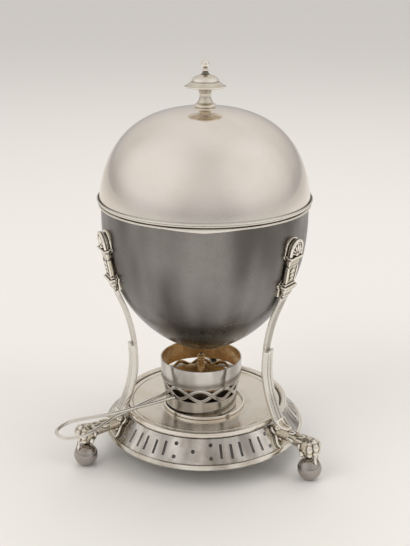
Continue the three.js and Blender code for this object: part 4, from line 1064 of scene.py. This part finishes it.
def finial():
    """A turned knob: ring foot, plain column, broad brim, bell-shaped cap and a ball."""
    bottom, tip = heights("finial")
    brim = half_width("finial")
    ball_height = tip - FINIAL_BALL
    column = [
        (5.7, -0.05, 0.2),
        (6.2, 0.5, 0.3),
        (6.2, 1.5, 0.3),
        (5.3, 1.8, 0.15),
        (4.6, 2.3, 0.5),
        (3.5, 4.6, 1.0),
        (3.3, 6.4, 0.8),
        (3.4, 8.1, 0.3),
        (3.8, 8.4, 0.15),
        (3.7, 8.8, 0.15),
        (4.6, 9.3, 0.3),
        (6.6, 10.1, 0.8),
        (brim - 0.5, 11.1, 0.3),
        (brim, 11.6, 0.3),
        (brim - 0.7, 12.1, 0.25),
        (brim - 1.2, 11.8, 0.15),
        (brim - 1.8, 12.3, 0.3),
        (8.7, 14.0, 0.8),
        (8.1, 14.1, 0.15),
        (7.8, 14.7, 0.15),
        *curved([(7.8, 14.9), (7.2, 17.2), (4.2, 17.6), (2.4, 18.4)], 14),
        (1.4, 19.8, 0.6),
        (1.9, 20.5, 0.3),
    ]
    outline = eased([
        (0, bottom),
        (STUD_RADIUS, bottom, 0.2),
        (STUD_RADIUS, DOME_TOP - 0.05),
        *[(radius, DOME_TOP + height, *edge) for radius, height, *edge in column],
        (1.3, ball_height - FINIAL_BALL, 0.2),
        *arc(0, ball_height, FINIAL_BALL, -math.pi / 3, math.pi / 2, 16)[:-1],
        (0, tip),
    ], closed=False)
    piece("finial", turned(outline, SMALL_FACETS * 2), FINIAL_SILVER, "lid", hollows=0.8)


def hexagonal_nut(node, bore, body):
    bottom, top = heights(node)
    radius = half_width(node)
    skin = turned([(radius, bottom), (radius, top), (bore, top), (bore, bottom)], 6)
    obj = mesh_object(f"{node}_fine", *skin)
    edge = obj.modifiers.new("edge", "BEVEL")
    edge.width = 0.2 * MM
    edge.segments = 2
    finish_piece(settled(obj), RACK_SILVER, body, node)


# Legs, each built with +X outwards and then turned to its place

def leg_place(number):
    return Matrix.Translation(AXIS) @ Matrix.Rotation(BACK_LEG + number * TURN / LEG_COUNT, 4, "Z")


CAPITAL_SEAT = [Vector((radius_at(BOWL_CURVE, z), z)) for z in (CAPITAL_FOOT, CAPITAL_TOP)]
CAPITAL_RISE = CAPITAL_SEAT[1] - CAPITAL_SEAT[0]
CAPITAL_LEAN = math.atan2(CAPITAL_RISE.x, CAPITAL_RISE.y)


def arch(half, foot, springing, steps=18):
    """An arch in Y and Z, from one foot over the top to the other."""
    return [(half, foot), *arc(0, springing, half, 0, math.pi, steps), (-half, foot)]


def capital_skin():
    """Arched fan over a ledge, a panel with a drop of husks, and mouldings down to the neck. A groove runs
    up both sides, between the plate on the bowl and the block in front of it."""
    front = CAPITAL_PLATE + CAPITAL_GROOVE
    parts = []

    def layer(near, far, bottom, top, width):
        size = (far - near, width, top - bottom)
        parts.append(rounded_box(((near + far) / 2, 0, (bottom + top) / 2), size, 0.3))

    layer(-CAPITAL_BURIED, CAPITAL_PLATE, 0, FAN_FOOT, 9.6)
    layer(0, 3.6, 0, FAN_FOOT, 5.2)
    for bottom, top, width, depth in CAPITAL_SLABS:
        layer(-CAPITAL_BURIED, CAPITAL_PLATE, bottom, top, width)
        layer(0, depth - 0.5, bottom, top, width - 2 * CAPITAL_INSET)
        layer(front, depth, bottom, top, width - 0.5)

    parts.append(extruded(PANEL_CORNERS, front, 1.6))
    edges = [Vector((4.3, y * 0.9, max(z, PANEL_CORNERS[0][1] + 0.5))) for y, z in PANEL_CORNERS]
    parts.append(moulding(edges[:2], 0.55))
    parts.append(moulding(edges[2:], 0.55))
    for height, size in HUSKS:
        for side in (-1, 0, 1):
            centre = (4.3, side * size * 0.5, height - abs(side) * 0.1)
            parts.append(ellipsoid(centre, (1.0, size * 0.45, size), rotation("X", side * 38), 8, 10))

    springing = CAPITAL_LENGTH - FAN_HALF
    for inset, start, end in ((0, -CAPITAL_BURIED, CAPITAL_PLATE), (CAPITAL_INSET, 0, FAN_DEPTH),
                              (0.25, front, FAN_DEPTH)):
        parts.append(extruded(arch(FAN_HALF - inset, FAN_FOOT - 0.1, springing), start, end - start))
    for inset, size in ((0.9, 0.9), (2.4, 0.45)):
        line = [Vector((FAN_DEPTH + 0.1, y, z)) for y, z in arch(FAN_HALF - inset, FAN_FOOT, springing)]
        parts.append(moulding(line, size))
    hub = Vector((FAN_DEPTH + 0.2, 0, FAN_FOOT + 1.3))
    reach = CAPITAL_LENGTH - FAN_FOOT - 3.9
    for degrees in np.linspace(-FAN_SPREAD, FAN_SPREAD, FAN_RIBS):
        tilt = rotation("X", degrees)
        half = reach * (1 - 0.28 * abs(degrees) / FAN_SPREAD) / 2
        parts.append(ellipsoid(hub + tilt @ Vector((0, 0, half + 0.5)), (1.1, 0.55, half), tilt, 8, 10))
    parts.append(ellipsoid(hub, (1.5, 1.5, 1.4), Matrix(), 10, 14))
    return combined(*parts)


def seated_on_bowl(point):
    """Draws a point that would pass through the bowl out to just inside its wall."""
    surface = radius_at(BOWL_CURVE, point.z) - 0.5
    spoke = math.hypot(point.x, point.y)
    if spoke >= surface:
        return point
    return Vector((point.x * surface / spoke, point.y * surface / spoke, point.z))


def capital(side, place):
    seat = Vector((CAPITAL_SEAT[0].x, 0, CAPITAL_SEAT[0].y))
    lean = Matrix.Translation(seat) @ Matrix.Rotation(CAPITAL_LEAN, 4, "Y")
    vertices, faces = placed(capital_skin(), lean)
    skin = ([seated_on_bowl(v) for v in vertices], faces)
    obj = fused(f"capital_{side}_fine", placed(skin, place), CAPITAL_GRAIN, CAPITAL_SOFTENING)
    finish_piece(obj, CAST_SILVER, "stand", f"capital_{side}", 1.4)


def leg_path():
    """The bar's middle line: two parabolas that meet at the waist, then a step out over the gallery."""
    seat = BAR_SEAT + BAR_DEPTH / 2
    top = Vector((CAPITAL_SEAT[0].x + seat * math.cos(CAPITAL_LEAN),
                  CAPITAL_FOOT - GAP - seat * math.sin(CAPITAL_LEAN)))

    def from_waist(end, share):
        return Vector((WAIST.x + (end.x - WAIST.x) * share ** 2, 0, WAIST.y + (end.y - WAIST.y) * share))

    points = [from_waist(top, share) for share in (1, 2 / 3, 1 / 3)]
    points += [from_waist(ANKLE, share) for share in (0, 1 / 3, 2 / 3, 1)]
    return smooth_path([*points, HEEL], 12)


LEG_PATH = leg_path()


def bar_width(height):
    """Flat and broad under the capital, narrow just above the reeds and broad again behind them."""
    end, width = (LEG_PATH[0].z, BAR_TOP_WIDTH) if height > REED_TOP else (ANKLE.y, BAR_FOOT_WIDTH)
    share = min((height - REED_TOP) / (end - REED_TOP), 1)
    return BAR_NECK_WIDTH + (width - BAR_NECK_WIDTH) * math.sqrt(max(share, 0))


def leg_bar(side, place):
    def section(share):
        height = LEG_PATH[round(share * (len(LEG_PATH) - 1))].z
        w, d = bar_width(height) / 2, BAR_DEPTH / 2
        inner = [(-w, -d, BAR_EDGE), (-w / 2, -d), (w / 2, -d), (w, -d, BAR_EDGE)]
        return eased([*inner, *[(-a, -b, *edge) for a, b, *edge in inner]], steps=3)

    piece(f"leg_bar_{side}", placed(swept(LEG_PATH, section), place), LEG_SILVER, hollows=0.4)


def leg_reeds(side, place):
    """Three round reeds side by side on the outside of the bar, cut off square at the top."""
    seat = BAR_DEPTH / 2 - 0.1
    reed = REED_WIDTH / REED_COUNT
    section = [(REED_WIDTH / 2, seat), (-REED_WIDTH / 2, seat)]
    for n in range(REED_COUNT):
        centre = -REED_WIDTH / 2 + (n + 0.5) * reed
        section += [(centre + reed / 2 * math.cos(a), seat + 0.3 + REED_DEPTH * math.sin(a) ** 0.6)
                    for a in np.linspace(math.pi, 0, 9)]
    path = [p for p in LEG_PATH if p.z <= REED_TOP][:-7]
    piece(f"leg_reeds_{side}", placed(swept(path, lambda share: section), place), LEG_SILVER, hollows=0.45)


def leaf(side, place):
    """A pointed leaf with a middle rib and side veins, lying on the limb."""
    line = smooth_path([HEEL + Vector(p) for p in ((-2.0, 0, 2.6), (1.6, 0, -0.6), (7.0, 0, -2.0))], 12)
    seat = BAR_DEPTH / 2 + REED_DEPTH * 0.6

    def section(along):
        half = 4.7 * math.sqrt(max(1 - along ** 1.6 * 0.97, 0.01))
        crown = 1.3 * (1 - 0.5 * along)
        points = [(half * share, seat - 0.9) for share in (1, 0.5, 0, -0.5, -1)]
        for share in np.linspace(-1, 1, 21):
            vein = 0.16 * abs(math.sin(5 * math.pi * (along + abs(share) * 0.35)))
            rib = 0.35 * max(0, 1 - abs(share) * 6)
            points.append((half * share, seat + crown * (1 - share ** 2 * 0.8) - vein * abs(share) + rib))
        return points

    piece(f"leaf_{side}", placed(swept(line, section), place), CAST_SILVER, hollows=1.0)


def paw_skin():
    """Furred limb, a high paw whose toes rest on the ball, and the scrolled block at the gallery."""
    start = HEEL + Vector((GAP, 0, -3.2))
    end = BALL_CENTRE + Vector((-4.4, 0, BALL_RADIUS + 8.3))
    bend = Vector(((start.x + end.x) / 2 - 1.0, 0, end.z + 0.6))
    parts = []

    def on_limb(share):
        return start.lerp(bend, share).lerp(bend.lerp(end, share), share)

    for t in np.linspace(0, 1, 12):
        size = LIMB_RADIUS * (1.05 - 0.16 * math.sin(math.pi * t))
        parts.append(ellipsoid(on_limb(t), (size, size, size)))
    for row, (t, count, reach) in enumerate(FUR_ROWS):
        for n in range(count):
            swing = math.radians(-95 + 190 * (n + 0.5 * (row % 2)) / (count - 0.5))
            lock = on_limb(t) + Vector((0.15, math.sin(swing), math.cos(swing))) * 3.7
            lay = Matrix.Rotation(-swing, 4, "X") @ rotation("Y", -8)
            parts.append(ellipsoid(lock, (reach, 1.5, 0.75), lay, 8, 12))

    body = BALL_CENTRE + Vector((-1.2, 0, BALL_RADIUS + 6.4))
    parts.append(ellipsoid(body, (6.2, 6.1, 6.5), rotation("Y", 15)))
    for azimuth, height in CHEEKS:
        parts.append(ellipsoid(body + rotation("Z", azimuth) @ Vector((5.2, 0, height)), (1.6, 2.4, 2.1)))
    for azimuth, rise, clawed in TOES:
        turn = rotation("Z", azimuth)
        joints = [(out, BALL_RADIUS + up + rise, radii, lean) for out, up, radii, lean in TOE_JOINTS]
        if clawed:
            joints.append(CLAW)
        for out, height, radii, lean in joints:
            centre = BALL_CENTRE + turn @ Vector((out, 0, height))
            parts.append(ellipsoid(centre, radii, turn @ rotation("Y", lean)))

    inner = SHOULDER_RADIUS + BEAD_RADIUS - 0.6
    block = Vector(((inner + start.x) / 2, 0, start.z - 1.4))
    parts.append(rounded_box(block, (start.x - inner, 5.4, 8.0), 0.8))
    parts.append(rounded_box(block + Vector((-1.2, 0, -0.6)), (2.2, 8.6, 6.4), 0.6))
    foot = Vector((GALLERY_RADIUS, 0, GALLERY_FOOT))
    on_gallery = Matrix.Translation(foot) @ Matrix.Rotation(-GALLERY_SLOPE, 4, "Y")
    plate = [*HALF_PLATE, *[(-y, z) for y, z in reversed(HALF_PLATE)]]
    parts.append(placed(extruded(plate, -0.3, 1.6), on_gallery))
    for side in (-1, 1):
        edge = smooth_path([Vector((1.2, side * y, z)) for y, z in HALF_PLATE], 4)
        parts.append(placed(moulding(edge, 0.8), on_gallery))
        for forward, height, size in SCROLLS:
            hub = start + Vector((forward, side * 2.9, height))
            parts.append(ellipsoid(hub, (size, 1.3, size)))
            parts.append(ellipsoid(hub + Vector((0, side * 0.9, 0)), (size * 0.45, 1.0, size * 0.45)))
    return combined(*parts)


def paw(side, place):
    obj = fused(f"paw_{side}_fine", placed(paw_skin(), place), PAW_GRAIN, PAW_SOFTENING)
    finish_piece(obj, CAST_SILVER, "stand", f"paw_{side}", 0.9)


def ball(side, place):
    start = -math.acos(BALL_FLAT / BALL_RADIUS)
    outline = [(0, 0), *arc(0, BALL_CENTRE.z, BALL_RADIUS, start, math.pi / 2, 36)[:-1],
               (0, BALL_CENTRE.z + BALL_RADIUS)]
    centre = place @ Vector((BALL_CENTRE.x, 0, 0))
    piece(f"ball_{side}", turned(outline, SMALL_FACETS, centre), BALL_SILVER)


# Burner

BAND_LEAN = (SHELL_RIM_RADIUS - 0.2 - SHELL_FOOT_RADIUS) / (BAND_TOP - BAND_BOTTOM)


def shell_radius(height):
    """Outside radius of the burner at a height."""
    return float(np.interp(height, [SHELL_FOOT, BAND_BOTTOM, BAND_TOP, SHELL_RIM],
                           [SHELL_FOOT_RADIUS, SHELL_FOOT_RADIUS, SHELL_RIM_RADIUS - 0.2, SHELL_RIM_RADIUS]))


def shell_ring(rise, edge=0.25):
    """A band of the shell over rising heights, with softened edges."""
    outside = [(shell_radius(z), z) for z in rise]
    section = [*outside, *[(r - SHELL_WALL, z) for r, z in reversed(outside)]]
    corners = (0, len(outside) - 1, len(outside), len(section) - 1)
    return turned(eased([(*p, edge) if i in corners else p for i, p in enumerate(section)]), axis=Vector())


def burner_shell():
    """Plain foot and plain top band, joined by the interlaced band. The inside is browned by heat."""
    skins = [shell_ring([SHELL_FOOT, BAND_BOTTOM, BAND_BOTTOM + BORDER]),
             shell_ring([BAND_TOP - BORDER, BAND_TOP, SHELL_RIM]),
             turned(circle(SHELL_RIM_RADIUS - 0.45, SHELL_RIM - 0.45, 0.45, 12), axis=Vector())]
    for height in (BAND_BOTTOM + BORDER, BAND_TOP - BORDER):
        skins.append(turned(circle(shell_radius(height) - 0.05, height, 0.3, 8), axis=Vector()))
    centre = (BAND_BOTTOM + BAND_TOP) / 2
    radius = shell_radius(centre) - STRIP_DEPTH / 2 - STRIP_WEAVE
    obj = run_nodes(mesh_object("burner_shell_fine", *combined(*skins)), INTERLACE, {
        "Eyes": INTERLACE_COUNT, "Swing": STRIP_SWING * MM, "Width": STRIP_WIDTH * MM,
        "Depth": STRIP_DEPTH * MM, "Radius": radius * MM, "Lean": BAND_LEAN, "Height": centre * MM,
        "Weave": STRIP_WEAVE * MM, "Start": FRONT, "Material": BURNER_SILVER,
    })
    obj.data.transform(Matrix.Translation(BURNER_AXIS * MM))
    finish_piece(obj, BURNER_SILVER, "burner", "burner_shell")

    def looks_inwards(face):
        spoke = (face.center - BURNER_AXIS * MM) * LEVEL
        return face.normal.dot(spoke.normalized()) < LOOKS_INWARDS

    second_metal(obj, HEATED_PLATE, looks_inwards)


def font():
    """Spirit cup with its cover, wick tube and ridged collar."""
    radius = half_width("font_cup")
    inner = radius - CUP_WALL
    foot, top = heights("font_cup")
    cup = eased([(0, foot), (radius, foot, 0.6), (radius, top, 0.2), (inner, top, 0.2),
                 (inner, foot + CUP_WALL, 0.6), (0, foot + CUP_WALL)], closed=False)
    piece("font_cup", turned(cup, axis=BURNER_AXIS), DULL_PLATE, "burner")

    radius = half_width("font_cover")
    bore = half_width("wick_tube") + GAP
    bottom, top = heights("font_cover")
    cover = eased([(bore, bottom), (radius, bottom, 0.2), (radius, top, 0.3), (radius * 0.55, top - 0.1, 2.0),
                   (bore + 1.2, top, 0.4), (bore, top)])
    piece("font_cover", turned(cover, axis=BURNER_AXIS), HEATED_PLATE, "burner")

    tube = fine_ring("wick_tube", TUBE_BORE, 0.15, BURNER_AXIS, SMALL_FACETS)
    piece("wick_tube", tube, HEATED_PLATE, "burner")

    radius = half_width("wick_collar")
    neck = radius - 0.35
    bottom, top = heights("wick_collar")
    ridge = 1.5
    outline = eased([(bore, bottom), (radius, bottom, 0.2), (radius, bottom + 0.8, 0.3),
                     (neck, bottom + 1.1, 0.2), (neck, top - 3 * ridge, 0.2)], closed=False)
    for n in (2, 1):
        height = top - (n - 0.2) * ridge
        outline += arc(radius - ridge * 0.45, height, ridge * 0.4, -math.pi / 2, math.pi / 2, 8)
    outline += [(radius - 0.5, top - 0.3), (bore + 0.1, top), (bore, top)]
    piece("wick_collar", turned(outline, SMALL_FACETS, BURNER_AXIS), HEATED_PLATE, "burner",
          hollows=1.0)


def wick():
    """Twisted strands, a little narrower at the tip."""
    bottom, top = heights("wick")
    rings = []
    for z in np.linspace(bottom, top, 60):
        radius = half_width("wick") * (0.85 if z > top - 0.2 else 1.0)
        ring = []
        for a in angles(24):
            r = radius * (0.9 + 0.1 * math.cos(WICK_STRANDS * (a - z * WICK_TWIST)))
            ring.append(BURNER_AXIS + Vector((r * math.cos(a), r * math.sin(a), z)))
        rings.append(ring)
    piece("wick", loft(rings), COTTON, "wick")


def burner_floor():
    piece("burner_floor", fine_disc("burner_floor", 0.2, BURNER_AXIS), DULL_PLATE, "burner")


def burner_handle():
    """A wire that leaves the band, crosses over itself, turns in a loop and comes back."""
    start = math.sqrt((shell_radius(HANDLE_HEIGHT) + GAP) ** 2 - (HANDLE_END_SPREAD - HANDLE_WIRE) ** 2) + 0.1
    to_crossing = HANDLE_CROSSING - start
    to_loop = HANDLE_LOOP_CENTRE - HANDLE_CROSSING
    to_tip = HANDLE_TIP - HANDLE_LOOP_CENTRE
    spread = HANDLE_END_SPREAD
    loop = -HANDLE_LOOP_HALF_WIDTH
    over = HANDLE_WIRE + GAP / 2
    half = [
        (start, spread, 0),
        (start + 0.3 * to_crossing, spread * 0.8, over * 0.3),
        (start + 0.7 * to_crossing, spread * 0.42, over * 0.9),
        (HANDLE_CROSSING, 0, over),
        (HANDLE_CROSSING + 0.35 * to_loop, loop * 0.34, over),
        (HANDLE_CROSSING + 0.75 * to_loop, loop * 0.86, over * 0.5),
        (HANDLE_LOOP_CENTRE + 0.1 * to_tip, loop, over * 0.2),
        (HANDLE_LOOP_CENTRE + 0.78 * to_tip, loop * 0.66, 0),
    ]
    back = [(x, -y, -z) for x, y, z in reversed(half)]
    route = smooth_path([Vector(p) for p in [*half, (HANDLE_TIP, 0, 0), *back]], 10)
    rings = []
    for i, (point, along) in enumerate(directions(route)):
        side = along.cross(UP).normalized()
        rise = side.cross(along)
        from_end = min(i, len(route) - 1 - i)
        size = HANDLE_WIRE * (0.96 + 0.3 * max(0, 1 - from_end / 5))
        rings.append([point + side * a + rise * b for a, b in circle(0, 0, size, 16)])
    seat = BURNER_AXIS + UP * (HANDLE_HEIGHT + start * math.sin(HANDLE_DROOP))
    turn = (Matrix.Translation(seat) @ Matrix.Rotation(HANDLE_AZIMUTH, 4, "Z")
            @ Matrix.Rotation(HANDLE_DROOP, 4, "Y"))
    piece("burner_handle", placed(loft(rings), turn), LEG_SILVER, "burner", hollows=0.7)


# Egg rack

def rack_disc(node, hole):
    """A level disc with four round egg holes and a hole for the stem."""
    bottom, top = heights(node)
    skin = fine_ring(node, STEM_HOLE, 0.3, Vector())
    obj = run_nodes(mesh_object(f"{node}_fine", *skin), ROUND_PIERCING, {
        "Count": EGG_COUNT, "Circle": EGG_CIRCLE * MM, "Hole Radius": hole * MM,
        "Height": (bottom + top) / 2 * MM, "Punch": 4 * (top - bottom) * MM, "Start": math.pi / EGG_COUNT,
        "Material": RACK_SILVER,
    })
    obj.data.transform(Matrix.Translation(AXIS * MM))
    finish_piece(obj, RACK_SILVER, "egg_rack", node)


def rack_ring():
    wire = half_depth("rack_ring")
    radius = half_width("rack_ring") - wire
    centre = middle("rack_ring")
    rings = [[centre + Vector((r * math.cos(a), y, r * math.sin(a))) for r, y in circle(radius, 0, wire, 16)]
             for a in angles(SMALL_FACETS)]
    piece("rack_ring", loft(rings, closed=True), RACK_SILVER, "egg_rack")


def egg_rack():
    rack_disc("rack_tray", TRAY_HOLE)
    rack_disc("rack_plate", EGG_HOLE)
    piece("rack_stem", fine_disc("rack_stem", 0.4, AXIS, SMALL_FACETS), RACK_SILVER, "egg_rack")
    hexagonal_nut("rack_nut", STEM_HOLE, "egg_rack")
    for node in ("rack_boss_tray", "rack_boss_plate"):
        boss = fine_ring(node, STEM_HOLE, 0.5, AXIS, SMALL_FACETS)
        piece(node, boss, RACK_SILVER, "egg_rack")
    rack_ring()
    for node in ("rack_foot_1", "rack_foot_2", "rack_foot_3"):
        foot = fine_disc(node, 0.5, middle(node).xy.to_3d(), 32)
        piece(node, foot, RACK_SILVER, "egg_rack")


# The whole object

def build_object():
    for make in (base_plate, burner_collar, gallery, base_rim, bowl, bowl_rim, lid_dome, lid_lip):
        make()
    piece("lid_bezel", fine_ring("lid_bezel", BEZEL_INSIDE, above=GAP), RACK_SILVER, "lid")
    finial()
    hexagonal_nut("finial_nut", STUD_HOLE, "lid")
    for number, side in enumerate(LEGS):
        for make in (capital, leg_bar, leg_reeds, leaf, paw, ball):
            make(side, leg_place(number))
    for make in (burner_shell, font, wick, burner_floor, burner_handle, egg_rack):
        make()


# Studio: a pale floor, a soft sky and three soft lamps

def floor():
    reach = 9.0
    mesh = bpy.data.meshes.new("floor")
    mesh.from_pydata([(-reach, -reach, 0), (reach, -reach, 0), (reach, reach, 0), (-reach, reach, 0)], [],
                     [(0, 1, 2, 3)])
    material, tree, shader = new_material("Pale Floor")
    shader["Base Color"].default_value = colour(0.80, 0.79, 0.77)
    shader["Roughness"].default_value = 0.7
    mesh.materials.append(material)
    new_object("floor", mesh)


def glow(tree, direction, aim, start, strength):
    """A round patch of brighter sky with a soft edge, towards an aim."""
    facing = add(tree, "ShaderNodeVectorMath", {0: direction, 1: Vector(aim).normalized()},
                 operation="DOT_PRODUCT").outputs["Value"]
    return between(tree, facing, start, 1.0, 0.0, strength)


def sky():
    """Soft light from all round, with three broad brighter patches and a dim line above the floor."""
    world = bpy.data.worlds.new("Studio Sky")
    world.use_nodes = True
    bpy.context.scene.world = world
    tree = world.node_tree
    direction = add(tree, "ShaderNodeTexCoord").outputs["Generated"]
    rise = add(tree, "ShaderNodeSeparateXYZ", {0: direction}).outputs["Z"]
    light = mixed(tree, between(tree, rise, -0.1, 0.5), colour(0.48, 0.46, 0.45), colour(0.66, 0.63, 0.60))
    patches = glow(tree, direction, (-0.95, -0.45, 0.6), 0.55, 0.5)
    for aim, start, strength in (((0.95, -0.2, 0.5), 0.6, 0.45), ((0.1, 0.5, 1.0), 0.6, 0.3)):
        patches = plus(tree, patches, glow(tree, direction, aim, start, strength))
    soft = mixed(tree, patches, light, colour(1.0, 0.98, 0.95))
    above_floor = math_node(tree, "ABSOLUTE", math_node(tree, "SUBTRACT", rise, 0.03))
    line = between(tree, above_floor, 0.16, 0.0, 0.0, 0.12)
    whole = mixed(tree, line, soft, colour(0.10, 0.09, 0.085))
    tree.links.new(whole, tree.nodes["Background"].inputs["Color"])


def lamp(name, place, target, width, height, power, tint):
    """A broad lamp for the floor's shadow. Its edges don't show in the metal, which mirrors the soft sky."""
    data = bpy.data.lights.new(name, "AREA")
    data.shape = "RECTANGLE"
    data.size = width
    data.size_y = height
    data.energy = power
    data.color = tint
    obj = new_object(name, data)
    obj.location = place
    obj.rotation_euler = (Vector(target) - Vector(place)).to_track_quat("-Z", "Y").to_euler()
    obj.visible_glossy = False


def camera():
    """The photograph's view, fitted to the rims, the base and the feet."""
    data = bpy.data.cameras.new("camera")
    data.lens = 62.44
    data.sensor_width = 36.0
    data.clip_start = 0.01
    data.clip_end = 50.0
    heading = math.atan2(0.1149, 0.9934)
    below_level = 19.03
    place = AXIS * MM + Vector((0.06245, -0.53747, 0.2997))
    obj = new_object("camera", data)
    obj.matrix_world = (Matrix.Translation(place) @ Matrix.Rotation(heading, 4, "Z")
                        @ rotation("X", 90 - below_level) @ rotation("Z", 0.25))
    bpy.context.scene.camera = obj


def studio():
    floor()
    sky()
    target = (0, 0, 0.12)
    lamp("key", (-0.9, -0.9, 1.2), target, 1.1, 0.8, 7.0, (1.0, 0.97, 0.93))
    lamp("fill", (1.2, -0.3, 0.9), target, 0.7, 1.1, 4.0, (1.0, 0.98, 0.95))
    lamp("top", (0.1, 0.6, 1.5), target, 1.4, 1.0, 6.0, (1.0, 0.98, 0.96))
    bpy.context.scene.view_settings.view_transform = "Standard"
    camera()


build_object()
studio()
